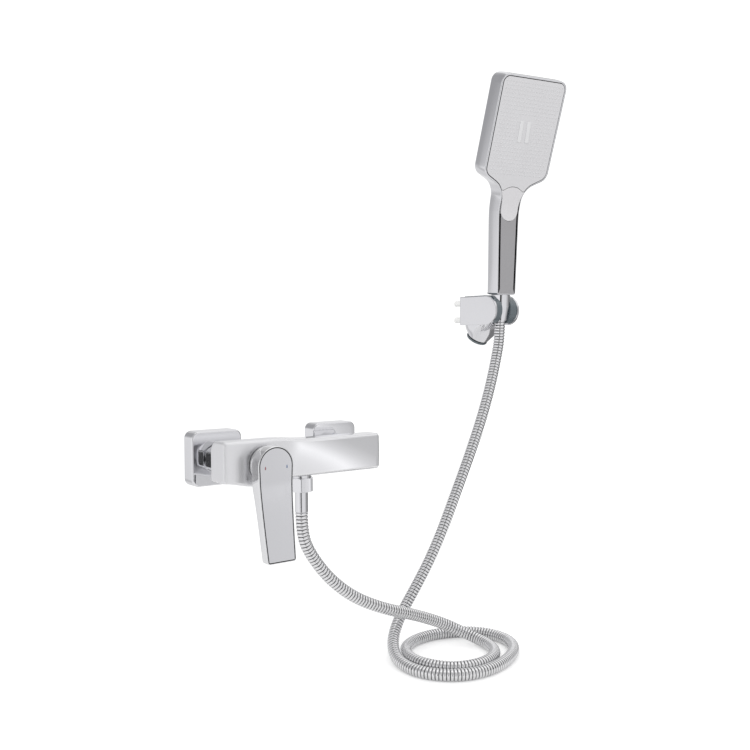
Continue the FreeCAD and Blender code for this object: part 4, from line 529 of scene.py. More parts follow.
def effect_group(name, *own_inputs):
    """An empty shader group that gives a colour, a roughness and a height, and its two end nodes."""
    group = bpy.data.node_groups.new(name, "ShaderNodeTree")
    for way, numbers in (("INPUT", ("Low", "High", *own_inputs)), ("OUTPUT", ("Roughness", "Height"))):
        group.interface.new_socket("Colour", in_out=way, socket_type="NodeSocketColor")
        for label in numbers:
            group.interface.new_socket(label, in_out=way, socket_type="NodeSocketFloat")
    return group, group.nodes.new("NodeGroupInput").outputs, group.nodes.new("NodeGroupOutput").inputs


def add_node(tree, kind, settings=None, **values):
    """A node with its settings and the values or links of its inputs, by name or as i and a number."""
    node = tree.nodes.new(kind)
    for key, value in (settings or {}).items():
        setattr(node, key, value)
    for key, value in values.items():
        socket = node.inputs[int(key[1:])] if key[0] == "i" and key[1:].isdigit() else node.inputs[key]
        if isinstance(value, bpy.types.NodeSocket):
            tree.links.new(value, socket)
        else:
            socket.default_value = value
    return node


def math_node(tree, operation, first, second=0.0):
    """One sum."""
    return add_node(tree, "ShaderNodeMath", {"operation": operation}, i0=first, i1=second).outputs[0]


def map_range(tree, value, low, high, to_low=0.0, to_high=1.0, smooth=True):
    """A value carried from one range to another, smoothly if asked."""
    settings = {"interpolation_type": "SMOOTHSTEP"} if smooth else {}
    return add_node(tree, "ShaderNodeMapRange", settings, Value=value, i1=low, i2=high, i3=to_low,
                    i4=to_high).outputs[0]


def mixed(tree, factor, first, second):
    """Two colours mixed by a factor."""
    return add_node(tree, "ShaderNodeMix", {"data_type": "RGBA"}, Factor=factor, i6=first,
                    i7=second).outputs[2]


def own_place(tree):
    """A point's place in the object's own coordinates."""
    return add_node(tree, "ShaderNodeTexCoord").outputs["Object"]


def join_effect(group, given, results, share, drift, height):
    """Joins a group's results: the colour times a share, the drift as roughness, and the height."""
    tone = add_node(group, "ShaderNodeVectorMath", {"operation": "SCALE"}, i0=given["Colour"], Scale=share)
    roughness = map_range(group, drift, 0.3, 0.7, given["Low"], given["High"], smooth=False)
    for label, socket in (("Colour", tone.outputs[0]), ("Roughness", roughness), ("Height", height)):
        group.links.new(socket, results[label])
    return group


def smear_group():
    """Faint smears and hairlines of a polished surface.

    Two noises, one broad and one fine and drawn out, are added; the sum sets the roughness between
    its two ends and dulls the colour a little, and the fine one is the height for the bump."""
    broad_share, fine_share, times_finer, stretch = 0.7, 0.3, 28.0, (1.0, 1.0, 0.12)
    group, given, results = effect_group("polish_smears", "Smear", "Size")
    place = own_place(group)
    broad = add_node(group, "ShaderNodeTexNoise", Vector=place, Scale=given["Size"], Detail=4.0)
    drawn = add_node(group, "ShaderNodeMapping", Vector=place, Scale=stretch)
    fine_size = math_node(group, "MULTIPLY", given["Size"], times_finer)
    fine = add_node(group, "ShaderNodeTexNoise", Vector=drawn.outputs[0], Scale=fine_size, Detail=3.0)
    both = math_node(group, "ADD", math_node(group, "MULTIPLY", broad.outputs[0], broad_share),
                     math_node(group, "MULTIPLY", fine.outputs[0], fine_share))
    dulled = math_node(group, "SUBTRACT", 1.0, math_node(group, "MULTIPLY", both, given["Smear"]))
    return join_effect(group, given, results, dulled, both, fine.outputs[0])


def grain_group():
    """Moulded plastic or rubber: a fine grain of cells, a faint drift of colour and its roughness."""
    drift_size, middle = 25.0, 0.5
    group, given, results = effect_group("moulded_grain", "Drift", "Grain")
    place = own_place(group)
    drift = add_node(group, "ShaderNodeTexNoise", Vector=place, Scale=drift_size, Detail=3.0).outputs[0]
    cells = add_node(group, "ShaderNodeTexVoronoi", {"feature": "SMOOTH_F1"}, Vector=place,
                     Scale=given["Grain"])
    change = math_node(group, "MULTIPLY", math_node(group, "SUBTRACT", drift, middle), given["Drift"])
    share = math_node(group, "ADD", 1.0, change)
    return join_effect(group, given, results, share, drift, cells.outputs["Distance"])


SMEARS = smear_group()
GRAIN = grain_group()


def surface(name, group, values, metallic=0.0, bump=0.0, bump_depth=0.00002, coat=0.0):
    """A material: the group's colour, roughness and height feed one Principled shader."""
    material = bpy.data.materials.new(name)
    material.use_nodes = True
    tree = material.node_tree
    shader = tree.nodes["Principled BSDF"]
    shader.inputs["Metallic"].default_value = metallic
    shader.inputs["Coat Weight"].default_value = coat
    shader.inputs["Coat Roughness"].default_value = 0.08
    effect = tree.nodes.new("ShaderNodeGroup")
    effect.node_tree = group
    for label, value in values.items():
        effect.inputs[label].default_value = (*value, 1) if isinstance(value, tuple) else value
    tree.links.new(effect.outputs["Colour"], shader.inputs["Base Color"])
    tree.links.new(effect.outputs["Roughness"], shader.inputs["Roughness"])
    if bump:
        relief = add_node(tree, "ShaderNodeBump", Height=effect.outputs["Height"], Strength=bump,
                          Distance=bump_depth)
        tree.links.new(relief.outputs[0], shader.inputs["Normal"])
    material.diffuse_color = (*values["Colour"], 1)
    return material


def painted_groove_shade(material, tone):
    """Mixes a dark tone into a material where the piece's valley attribute is set: painted shade in the
    grooves.
    """
    tree = material.node_tree
    shader = tree.nodes["Principled BSDF"]
    colour = shader.inputs["Base Color"].links[0].from_socket
    groove_shade = add_node(tree, "ShaderNodeAttribute", {"attribute_name": "groove_shade"})
    groove_shaded = mixed(tree, groove_shade.outputs["Fac"], colour, (tone, tone, tone, 1))
    tree.links.new(groove_shaded, shader.inputs["Base Color"])
    return material


def satin_beside_lever(material):
    """Adds roughness to the body's left part, buffed less brightly than the right, and to its left end."""
    tree = material.node_tree
    shader = tree.nodes["Principled BSDF"]
    rough = shader.inputs["Roughness"].links[0].from_socket
    across = add_node(tree, "ShaderNodeSeparateXYZ", Vector=own_place(tree)).outputs["X"]
    left = math_node(tree, "ADD", map_range(tree, across, *SATIN_RANGE),
                     map_range(tree, across, *END_SATIN_RANGE))
    tree.links.new(math_node(tree, "ADD", rough, left), shader.inputs["Roughness"])
    return material


def polished(name, colour, low=0.025, high=0.07, smear=0.05, size=18.0):
    """Polished metal."""
    return surface(name, SMEARS, {"Colour": colour, "Smear": smear, "Low": low, "High": high, "Size": size},
                   metallic=1.0, bump=0.02)


def moulded(name, colour, low=0.3, high=0.42, grain=1500.0, bump=0.15, coat=0.0):
    """Moulded plastic, rubber or ceramic."""
    return surface(name, GRAIN, {"Colour": colour, "Drift": 0.06, "Low": low, "High": high, "Grain": grain},
                   bump=bump, bump_depth=0.00005, coat=coat)


BODY_CHROME = satin_beside_lever(polished("body_chrome", (0.87, 0.87, 0.885), low=0.03, high=0.06))
LEVER_CHROME = polished("lever_chrome", (0.86, 0.86, 0.87), low=0.04, high=0.08)
PLATE_CHROME = polished("lever_plate_chrome", (0.71, 0.71, 0.73), low=0.08, high=0.16)
PRESSED_CHROME = polished("rosette_chrome", (0.80, 0.80, 0.82), low=0.03, high=0.08)
TURNED_CHROME = polished("turned_chrome", (0.80, 0.80, 0.82), low=0.03, high=0.08, size=40.0)
# The dome's chrome is darker than the rest: partly its own finish, partly painted shade for the gap behind
# the lever.
DOME_CHROME_PARTLY_SHADED = polished("dome_chrome", (0.72, 0.72, 0.73), low=0.12, high=0.2)
# The hose's valleys get painted shade: a dark tone mixed into the chrome.
HOSE_CHROME = painted_groove_shade(
    polished("hose_chrome", (0.86, 0.86, 0.87), low=0.06, high=0.12, size=60.0), 0.06)
SHELL_CHROME = polished("shell_chrome", (0.78, 0.78, 0.80), low=0.05, high=0.1)
BRACKET_CHROME = polished("bracket_chrome", (0.80, 0.80, 0.82), low=0.04, high=0.09)
PLAIN_BRASS = polished("plain_brass", (0.72, 0.56, 0.28), low=0.18, high=0.35, smear=0.2)
PLAIN_STEEL = polished("plain_steel", (0.60, 0.60, 0.62), low=0.2, high=0.35, smear=0.15)
# Painted shade: near-black for the floors and sides of seams, the collar's lip and hollow, and the dome's
# foot.
SEAM_SHADE_BLACK = moulded("painted_seam_shade", (0.012, 0.012, 0.013), low=0.4, high=0.6)
FACE_GREY = moulded("face_grey", (0.68, 0.675, 0.69), low=0.2, high=0.3, grain=900.0, bump=0.05, coat=0.3)
NOZZLE_RUBBER = moulded("nozzle_rubber", (0.71, 0.705, 0.72), low=0.35, high=0.5)
JET_PLASTIC = moulded("jet_plastic", (0.74, 0.74, 0.75), low=0.15, high=0.25, coat=0.4)
BUTTON_SATIN = moulded("button_satin", (0.70, 0.69, 0.705), low=0.22, high=0.32, coat=0.25)
GRIP_SATIN = moulded("grip_satin", (0.34, 0.335, 0.345), low=0.34, high=0.46, grain=1100.0, bump=0.3)
SMOKE_DARK = moulded("smoke_dark", (0.11, 0.135, 0.15), low=0.12, high=0.22, bump=0.05, coat=0.5)
PLUG_GREY = moulded("plug_grey", (0.92, 0.92, 0.91), low=0.45, high=0.6)
WHITE_PLASTIC = moulded("white_plastic", (0.82, 0.82, 0.80), low=0.35, high=0.5)
SEAL_RUBBER = moulded("seal_rubber", (0.03, 0.03, 0.03), low=0.5, high=0.7)
DISC_CERAMIC = moulded("disc_ceramic", (0.88, 0.87, 0.84), low=0.08, high=0.15, bump=0.02)
MARK_RED = moulded("mark_red", (0.30, 0.13, 0.14), low=0.2, high=0.3, coat=0.5)
MARK_BLUE = moulded("mark_blue", (0.15, 0.20, 0.33), low=0.2, high=0.3, coat=0.5)


def body_corners(x, inset):
    """Corners of the mixer body's cross-section at x, as (depth, height, radius).

    Its top falls by an eased step to the right, and its bottom is deepest behind the lever."""
    top = BODY_TOP - BODY_TOP_FALL * between(x, *BODY_TOP_RANGE)
    if x < CARTRIDGE_X:
        rise = BODY_LEFT_RISE * between(x, *BODY_LEFT_RANGE)
    else:
        rise = BODY_RIGHT_RISE * between(x, *BODY_RIGHT_RANGE)
    back, front = BODY_BACK + inset, BODY_FRONT - inset
    high, low = AXIS_Z + top - inset, AXIS_Z - BODY_BOTTOM + rise + inset
    return [(back, low, BODY_LOW_ROUND), (back, high, BODY_BACK_ROUND), (front, high, BODY_FRONT_ROUND),
            (front + BODY_CROWN, AXIS_Z, BODY_CROWN_ROUND), (front, low, BODY_FRONT_ROUND)]


def mixer_body():
    """Body: sections along x, with a quarter round at each end and a flat end face."""
    end_inset, end_drop = quarter_round(BODY_END_ROUND, 5)
    end_x = BODY_HALF - end_drop
    middle = np.linspace(-BODY_HALF + BODY_END_ROUND, BODY_HALF - BODY_END_ROUND, 72)[1:-1]
    places = np.concatenate([-end_x, middle, end_x[::-1]])
    insets = np.concatenate([end_inset, np.zeros(len(middle)), end_inset[::-1]])
    rings = []
    for x, inset in zip(places, insets):
        section = corner_arcs(body_corners(x, inset), 8)
        rings.append(np.stack([np.full(len(section), x), -section[:, 0], section[:, 1]], 1))
    shape = Shape().add(np.stack(rings), wrap_columns=True)
    shape.add_disc(rings[0]).add_disc(rings[-1])
    return make("mixer_body_skin", shape, [BODY_CHROME], "fixed", ["mixer_body"])


def square(half, corner):
    """A square loop with rounded corners."""
    return corner_arcs([(across * half, up * half, corner)
                        for across, up in ((-1, -1), (1, -1), (1, 1), (-1, 1))], 10)


def rosette(node, x):
    """Square cover: its loops go up the outside, over the front to the round hole and back inside.

    A loop on the square is turned into one on the circle point by point, along lines from the middle."""
    edge = square(COVER_HALF, COVER_CORNER)
    inner = square(COVER_HALF - COVER_WALL, COVER_CORNER - COVER_WALL)
    outwards = unit(edge)
    side, drop = quarter_round(COVER_ROUND, 7)
    loops = [(edge - outwards * inset, depth) for inset, depth in
             ((0.3, 0.0), (0.0, 0.3), (0.0, 9.0), *zip(side[::-1], COVER_DEPTH - drop[::-1]))]
    hole = outwards * COVER_HOLE
    face = edge - outwards * COVER_ROUND
    loops += [(face + (hole - face) * share, COVER_DEPTH) for share in (0.25, 0.5, 0.75, 0.97)]
    back = COVER_DEPTH - COVER_WALL
    loops += [(hole, COVER_DEPTH - 0.3), (hole, back), (inner - outwards * 2, back), (inner, back - 1.8),
              (inner, 0.0)]
    grid = np.stack([np.stack([x + loop[:, 0], np.full(len(loop), -depth), AXIS_Z + loop[:, 1]], 1)
                     for loop, depth in loops])
    return make(node + "_skin", Shape().add_ring(grid), [PRESSED_CHROME], "fixed", [node])


def cover_dome():
    """Dished ring behind the lever, on a black ring of painted shadow at its foot."""
    shape = Shape()
    # The first ring is black: painted shadow in the gap between the dome and the body.
    for ring, kind in ((SHADOW_GAP_RING, 1), (DOME_RING, 0)):
        grid = turned_grid(ring, (CARTRIDGE_X, -BODY_FRONT, CARTRIDGE_Z), OUTWARDS, 96, 5)
        shape.add_ring(grid, kind)
    return make("cover_dome_skin", shape, [DOME_CHROME_PARTLY_SHADED, SEAM_SHADE_BLACK], "fixed",
                ["cover_dome"])


def lever_half(inset):
    """Right half of the lever from its top to its tip: a quarter circle, a side and a corner arc."""
    angle = np.linspace(math.pi / 2 - 0.004, 0, 26)
    round_top = (LEVER_RADIUS - inset) * np.stack([np.cos(angle), np.sin(angle)], 1)
    tip, low = LEVER_TIP_HALF - inset, -LEVER_LENGTH + inset
    corner = max(LEVER_CORNER - inset, 1.0)
    turned_angle = np.linspace(0, -math.pi / 2, 7)
    tip_round = np.stack([tip - corner + corner * np.cos(turned_angle),
                          low + corner + corner * np.sin(turned_angle)], 1)
    side = filled(np.vstack([round_top[-1:], tip_round[:1]]), 3.0)[1:-1]
    return np.vstack([round_top, side, tip_round])


def lever_front(height):
    """Depth of the lever's front: upright at the top, then running out with the 1.25th power."""
    share = np.clip((-LEVER_KNEE - height) / (LEVER_LENGTH - LEVER_KNEE), 0, 1.2)
    return LEVER_FRONT + LEVER_REACH * share ** 1.25


def lever_back(height):
    """Depth of the lever's back: upright behind the round top, then running out with the 0.72nd power."""
    share = np.clip((-LEVER_BACK_KNEE - height) / (LEVER_LENGTH - LEVER_BACK_KNEE), 0, 1.2)
    easing, power = 0.06, 0.72
    below = LEVER_BACK_REACH * ((share + easing) ** power - easing ** power)
    return LEVER_RIM + below + LEVER_TOP_LEAN * np.clip(height / LEVER_RADIUS, 0, 1)


def lever_place(across, up, depth):
    """A place on the lever from its two coordinates in front view and its depth off the wall."""
    across, up, depth = np.broadcast_arrays(across, up, depth)
    return np.stack([CARTRIDGE_X + across, -depth, CARTRIDGE_Z + up], -1)


def lever_side(up, share):
    """Depth of the lever's side between its two rounded edges."""
    front, back = lever_front(up) - LEVER_EDGE, lever_back(up) + 0.9
    return front + (back - front) * share


def lever_handle():
    """Lever shell: loops go from the plate's pocket over the rim, down the side and across the back.

    The back runs from the outline to the round hollow point by point; the hollow has a flat floor."""
    pocket = [(1.2, 2.0), (1.2, 0.5), (1.05, 0.08), (0.95, 0.0)]
    bevel = [(0.7, 0.05), (0.45, 0.2), (0.22, 0.45), (0.08, 0.75), (0.0, LEVER_EDGE)]
    back_edge = [(0.1, 0.45), (0.35, 0.12), (0.8, 0.0)]
    rings = [loop_at(lever_half(inset), lever_place, lambda up: lever_front(up) - behind)
             for inset, behind in pocket + bevel]
    rings += [loop_at(lever_half(0.0), lever_place, lambda up: lever_side(up, share))
              for share in (0.33, 0.66, 1.0)]
    rings += [loop_at(lever_half(inset), lever_place, lambda up: lever_back(up) + ahead)
              for inset, ahead in back_edge]
    edge = mirrored(lever_half(back_edge[-1][0]))
    circle = unit(edge + (0, 1e-6)) * HOLLOW_RADIUS
    for share in np.linspace(0.08, 1, 14):
        across, up = (edge + (circle - edge) * share).T
        rings.append(lever_place(across, up, lever_back(up)))
    rings.append(lever_place(*circle.T, HOLLOW_DEPTH))
    rings.append(lever_place(*circle.T * 0.97, HOLLOW_DEPTH + 0.5))
    shape = Shape().add(np.stack(rings), wrap_columns=True).add_disc(rings[-1])
    # The pocket's floor is painted shade, black in the seam round the plate.
    inset, behind = pocket[0]
    across, up = rows_across(lever_half(inset))
    shape.add(lever_place(across, up, lever_front(up) - behind), kind=1)
    shape.add_ring(turned_grid(BOSS_RING, (CARTRIDGE_X, 0, CARTRIDGE_Z), OUTWARDS, 48, 3))
    return make("lever_shell", shape, [LEVER_CHROME, SEAM_SHADE_BLACK], "lever", ["lever_handle"])


def rim_of(grid):
    """The edge of a grid of points, once round."""
    return np.concatenate([grid[0, :-1], grid[:-1, -1], grid[-1, :0:-1], grid[:0:-1, 0]])


def plate_shape(front, back, side=0):
    """A thin closed plate between two grids of points."""
    shape = Shape().add(front).add(back)
    return shape.add(np.stack([rim_of(front), rim_of(back)]), wrap_columns=True, kind=side)


def soften(piece, width, angle=50):
    """Rounds the piece's sharp edges, before its normals are evened."""
    bevel = piece.modifiers.new("edges", "BEVEL")
    bevel.width = width * MM
    bevel.segments = 2
    bevel.limit_method = "ANGLE"
    bevel.angle_limit = math.radians(angle)
    piece.modifiers.move(1, 0)
    return piece


def lever_plate():
    """Front plate of the lever, flush with its rim inside a fine seam."""
    across, up = rows_across(lever_half(PLATE_INSET), 13)
    front, back = (lever_place(across, up, lever_front(up) - behind) for behind in (0.02, 1.8))
    # The plate's sides are painted shade, black in the seam round it.
    piece = make("lever_front_plate", plate_shape(front, back, 1), [PLATE_CHROME, SEAM_SHADE_BLACK], "lever",
                 ["lever_plate"])
    return soften(piece, 0.18)


def temperature_mark(name, side, material, node):
    """A small upright drop, wider below than above, let into the lever's plate."""
    half_width, taper, lean, half_height = 0.75, 0.25, 0.6, 1.9
    angle = round_angles(28)
    width = half_width - taper * np.sin(angle - lean)
    ring = np.stack([width * np.cos(angle) + side * MARK_SIDE, half_height * np.sin(angle) - MARK_DROP], 1)
    middle = np.array([side * MARK_SIDE, -MARK_DROP])
    rings = [lever_place(*(middle + (ring - middle) * size).T, LEVER_FRONT + depth)
             for size, depth in ((1.0, -0.3), (1.0, 0.0), (0.93, 0.045), (0.6, 0.07))]
    shape = Shape().add(np.stack(rings), wrap_columns=True).add_disc(rings[0]).add_disc(rings[-1])
    return make(name, shape, [material], "lever", [node])


def along_seat(distance):
    """A point on the hand shower's seat axis, below the handle for a negative distance."""
    return SEAT + SEAT_AXIS * distance


HOSE_TOP = node_box("ferrule_lower")[1][2]
HOSE_START = np.array([OUTLET_X, -OUTLET_DEPTH, node_box("ferrule_lower")[0][2]])
HOSE_END = along_seat(UPPER_FERRULE_TOP - UPPER_FERRULE_LENGTH)

# The hose's points in metres: down from the outlet and over to the right, nearly two turns on the floor
# by their places alone, and up to the hand shower
HOSE_DOWN = [
    (0.002, -0.062, -0.077), (0.013, -0.0635, -0.101), (0.033, -0.070, -0.129), (0.062, -0.076, -0.153),
    (0.098, -0.082, -0.170), (0.133, -0.0805, -0.182), (0.166, -0.0765, -0.195),
    (0.193, -0.0795, -0.207), (0.211, -0.091, -0.2175), (0.2195, -0.110, -0.223)]
HOSE_TURNS = [
    (0.217, -0.131), (0.206, -0.149), (0.189, -0.1605), (0.167, -0.165), (0.144, -0.1605),
    (0.1265, -0.146), (0.117, -0.124), (0.118, -0.100), (0.130, -0.078), (0.152, -0.063),
    (0.178, -0.0575), (0.204, -0.061), (0.227, -0.072), (0.243, -0.090), (0.2495, -0.114),
    (0.244, -0.138), (0.226, -0.159), (0.200, -0.174), (0.170, -0.183), (0.140, -0.182),
    (0.1155, -0.169), (0.100, -0.147), (0.097, -0.120)]
HOSE_UP = [
    (0.103, -0.093, -0.2215), (0.118, -0.071, -0.209), (0.140, -0.060, -0.188), (0.162, -0.060, -0.161),
    (0.183, -0.060, -0.133), (0.203, -0.060, -0.100), (0.223, -0.060, -0.061), (0.244, -0.060, -0.020),
    (0.264, -0.059, 0.020), (0.280, -0.057, 0.054), (0.293, -0.0538, 0.083), (0.3025, -0.0515, 0.1085)]
HOSE_ROUTE = [tuple(HOSE_START * MM), *HOSE_DOWN, *((x, y, FLOOR_LINE * MM) for x, y in HOSE_TURNS),
              *HOSE_UP, tuple(along_seat(HOSE_LAST_BEND) * MM), tuple(HOSE_END * MM)]


def spline_points(route):
    """The points of the NURBS spline through the route's control points."""
    curve = bpy.data.curves.new("hose_line", "CURVE")
    curve.dimensions = "3D"
    spline = curve.splines.new("NURBS")
    spline.points.add(len(route) - 1)
    for point, place in zip(spline.points, route):
        point.co = (*place, 1)
    spline.order_u = 3
    spline.use_endpoint_u = True
    spline.resolution_u = 12
    line = bpy.data.objects.new("hose_line", curve)
    mesh = bpy.data.meshes.new_from_object(line)
    points = np.empty(len(mesh.vertices) * 3)
    mesh.vertices.foreach_get("co", points)
    bpy.data.objects.remove(line)
    bpy.data.meshes.remove(mesh)
    return points.reshape(-1, 3)


def along_line(points, pitch, shares):
    """Places and directions along a line of points, at the same shares of every rib's pitch."""
    gaps = np.linalg.norm(np.diff(points, axis=0), axis=1)
    along = np.concatenate([[0], np.cumsum(gaps)])
    ribs = int(round(along[-1] / pitch))
    marks = (np.arange(ribs)[:, None] + np.array(shares)[None]).ravel() * along[-1] / ribs
    marks = np.append(marks, along[-1])
    places = np.stack([np.interp(marks, along, points[:, axis]) for axis in range(3)], 1)
    return places, unit(np.gradient(places, marks, axis=0)), ribs


def steady_sides(directions, first):
    """A direction across the line at each place, turned along with it so that nothing twists.

    Each is the one before it less its share along the new direction, made one long again."""
    sides = [first]
    for direction in directions:
        side = sides[-1] - direction * np.dot(sides[-1], direction)
        sides.append(side / np.linalg.norm(side))
    return np.array(sides[1:])


def ribbed_hose():
    """Ribbed metal hose: rings across the spline whose radius goes from valley to crest and back.

    In each rib the radius is the valley's plus a share of the rib's height: none over the narrow
    valley, and then a flat round over the crest. The valleys' points are marked for a painted shade that
    darkens them."""
    line = spline_points(HOSE_ROUTE)
    places, directions, ribs = along_line(line, RIB_PITCH * MM, RIB_SHARES)
    sides = steady_sides(directions, np.array([0.0, 1.0, 0.0]))
    others = np.cross(directions, sides)
    angle = round_angles(HOSE_STEPS)
    around = np.cos(angle)[None, :, None] * sides[:, None] + np.sin(angle)[None, :, None] * others[:, None]
    rise = np.append(np.tile(RIB_RISES, ribs), 0.0)
    radius = HOSE_VALLEY + (HOSE_CREST - HOSE_VALLEY) * rise
    outer = places[:, None] / MM + around * radius[:, None, None]
    mesh = bpy.data.meshes.new("hose_skin")
    count = len(angle)
    faces = grid_faces(len(outer), count, False, True)
    faces += [list(range(count)), list(range((len(outer) - 1) * count, len(outer) * count))]
    mesh.from_pydata((outer.reshape(-1, 3) * MM).tolist(), [], faces)
    # Points in the valleys are marked for painted shade.
    groove_shade = mesh.attributes.new("groove_shade", "FLOAT", "POINT")
    groove_shade.data.foreach_set("value", np.repeat((rise < 0.1).astype(float), count))
    with opened(mesh) as work:
        bmesh.ops.recalc_face_normals(work, faces=work.faces)
    mesh.shade_smooth()
    mesh.materials.append(HOSE_CHROME)
    piece = put_in_scene("ribbed_hose", mesh)
    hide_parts("shower_hose", "hose_liner")
    return piece, [Vector(place) for place in line]


def hand_half():
    """Right half of the hand shower's outline, as (across, up): handle, neck, shoulder and head."""
    corners = [(0, 0, 0), (HANDLE_HALF, 0, 2.6), (NECK_HALF, NECK_LOW, 60), (NECK_HALF, SHOULDER_LOW, 23),
               (HEAD_HALF, SHOULDER_HIGH, 14), (HEAD_HALF, HEAD_TOP, 11), (0, HEAD_TOP, 0)]
    return filled(corner_arcs(corners, 10, False)[1:-1], 4.0)


def hand_inset(inset):
    """The half outline drawn in: less near the bottom of the handle, and more for the head's rim."""
    half = hand_half()
    moved = drawn_in(half, 1.0) - half
    limit = np.minimum(inset, 1.0 + 0.5 * half[:, 1:])
    wider = 1 + HEAD_RIM_SHARE * between(half[:, 1:], *RIM_WIDENING) if inset < 3 else 1
    return half + moved * limit * wider


def hand_width(up, inset):
    """Half width of the drawn-in outline at each height."""
    half = hand_inset(inset)
    return np.interp(up, half[:, 1], half[:, 0])


def spine_table():
    """Heights, places and tilts of the front's middle line, whose tilt eases from 0 to the face's."""
    up = np.linspace(-2, HEAD_TOP + 5, 2700)
    tilt = math.radians(FACE_TILT) * between(up, BEND_HEIGHT - BEND_SPREAD, BEND_HEIGHT + BEND_SPREAD)
    step = np.gradient(up)
    forward = -HANDLE_DEPTH / 2 + np.cumsum(-np.sin(tilt) * step)
    height = up[0] + np.cumsum(np.cos(tilt) * step) - step[0]
    return up, forward, height, tilt


SPINE = spine_table()


def hand_place(across, up, depth):
    """A point from its place on the bent front and its depth behind it, put into the whole frame."""
    across, up, depth = np.broadcast_arrays(across, up, depth)
    forward, height, tilt = (np.interp(up, SPINE[0], values) for values in SPINE[1:])
    local = np.stack([across, forward + np.cos(tilt) * depth, height + np.sin(tilt) * depth], -1)
    return SEAT + local @ HAND_TURN.T


def hand_thickness(up):
    """From front to back: the handle's depth, growing to the head's."""
    return HANDLE_DEPTH + (HEAD_DEPTH - HANDLE_DEPTH) * between(up, *THICKENING)


def hand_shell():
    """Chromed shell: loops from the seam's floor over the rim and the side to the rounded back.

    The seam's floor and the back are closed by rows straight across, and the side swells by a sine."""
    rim = [(RIM_WIDTH, SEAM_DEPTH), (RIM_WIDTH, 0.3), (1.18, 0.07), (1.0, 0.0), (0.75, 0.02), (0.45, 0.12),
           (0.2, 0.34), (0.05, 0.66), (0.0, 1.0)]
    rings = [loop_at(hand_inset(inset), hand_place, depth) for inset, depth in rim]
    for share in (0.2, 0.4, 0.6, 0.8, 0.95):
        swollen = hand_inset(-SHELL_BULGE * math.sin(math.pi * share))
        rings.append(loop_at(swollen, hand_place,
                             lambda up: 1 + share * (hand_thickness(up) - 1 - SHELL_BACK_ROUND)))
    drop, inset = quarter_round(SHELL_BACK_ROUND, 8)
    rings += [loop_at(hand_inset(near), hand_place, lambda up: hand_thickness(up) - below - 1e-6)
              for near, below in zip(inset, drop)]
    shape = Shape().add(np.stack(rings), wrap_columns=True)
    # The seam's floor is painted shade, black.
    shape.add(hand_place(*rows_across(hand_inset(RIM_WIDTH)), SEAM_DEPTH), kind=1)
    across, up = rows_across(hand_inset(SHELL_BACK_ROUND))
    shape.add(hand_place(across, up, hand_thickness(up) - 1e-6))
    return make("hand_shower_shell", shape, [SHELL_CHROME, SEAM_SHADE_BLACK], "hand_shower",
                ["handset_back_shell"])


def tongue_arc(across):
    """How much higher the button's round top stands than its corners, across the neck."""
    return np.maximum(TONGUE_DROP * (1 - (across / TONGUE_ARCH_HALF) ** 2), 0)


def spray_face():
    """Face plate: its rows run across the head and start on the button's round top."""
    half = hand_inset(SEAM_INSET)
    low = TONGUE_TOP - TONGUE_DROP
    rows = np.unique(np.round(np.concatenate([[low], half[half[:, 1] > low + 0.5][:, 1]]), 3))
    share = np.linspace(-1, 1, 41)
    across = share[None] * hand_width(rows, SEAM_INSET)[:, None]
    fade = 1 - between(rows[:, None], low, low + 24)
    up = rows[:, None] + tongue_arc(across) * fade + TONGUE_SEAM / 2 * fade
    # The face plate's sides are painted shade, black in the seam.
    shape = plate_shape(hand_place(across, up, 0.06), hand_place(across, up, PANEL_DEPTH), 1)
    piece = make("spray_face", shape, [FACE_GREY, SEAM_SHADE_BLACK], "hand_shower", ["face_plate"])
    return soften(piece, 0.15)


def tongue_button():
    """Button: half round below, a little wider towards its arched top, crowned by a few tenths."""
    low = TONGUE_CENTRE - TONGUE_RADIUS
    top = TONGUE_TOP - TONGUE_DROP
    angle = np.linspace(-math.pi / 2 + 0.06, 0, 12)
    rows = np.concatenate([TONGUE_CENTRE + TONGUE_RADIUS * np.sin(angle),
                           np.linspace(TONGUE_CENTRE, top, 10)[1:]])
    below = np.clip((rows - TONGUE_CENTRE) / TONGUE_RADIUS, -1, 0)
    round_width = TONGUE_RADIUS * np.cos(np.arcsin(below))
    widening = between(rows, *TONGUE_WIDENING)
    width = round_width * (1 - widening) + hand_width(rows, SEAM_INSET - 0.1) * widening
    share = np.sin(np.linspace(-math.pi / 2, math.pi / 2, 25))
    across = share[None] * width[:, None]
    rise = between(rows[:, None], TONGUE_CENTRE, top)
    up = rows[:, None] + tongue_arc(across) * rise - TONGUE_SEAM / 2 * rise
    along = np.clip((rows[:, None] - low) / TONGUE_HEIGHT, 0, 1)
    crown = TONGUE_CROWN * (1 - share[None] ** 2) * np.sin(math.pi * along)
    shape = plate_shape(hand_place(across, up, -0.2 - crown), hand_place(across, up, PANEL_DEPTH + 0.05))
    piece = make("spray_button_tongue", shape, [BUTTON_SATIN], "spray_button",
                 ["mode_button"])
    return soften(piece, 0.22)


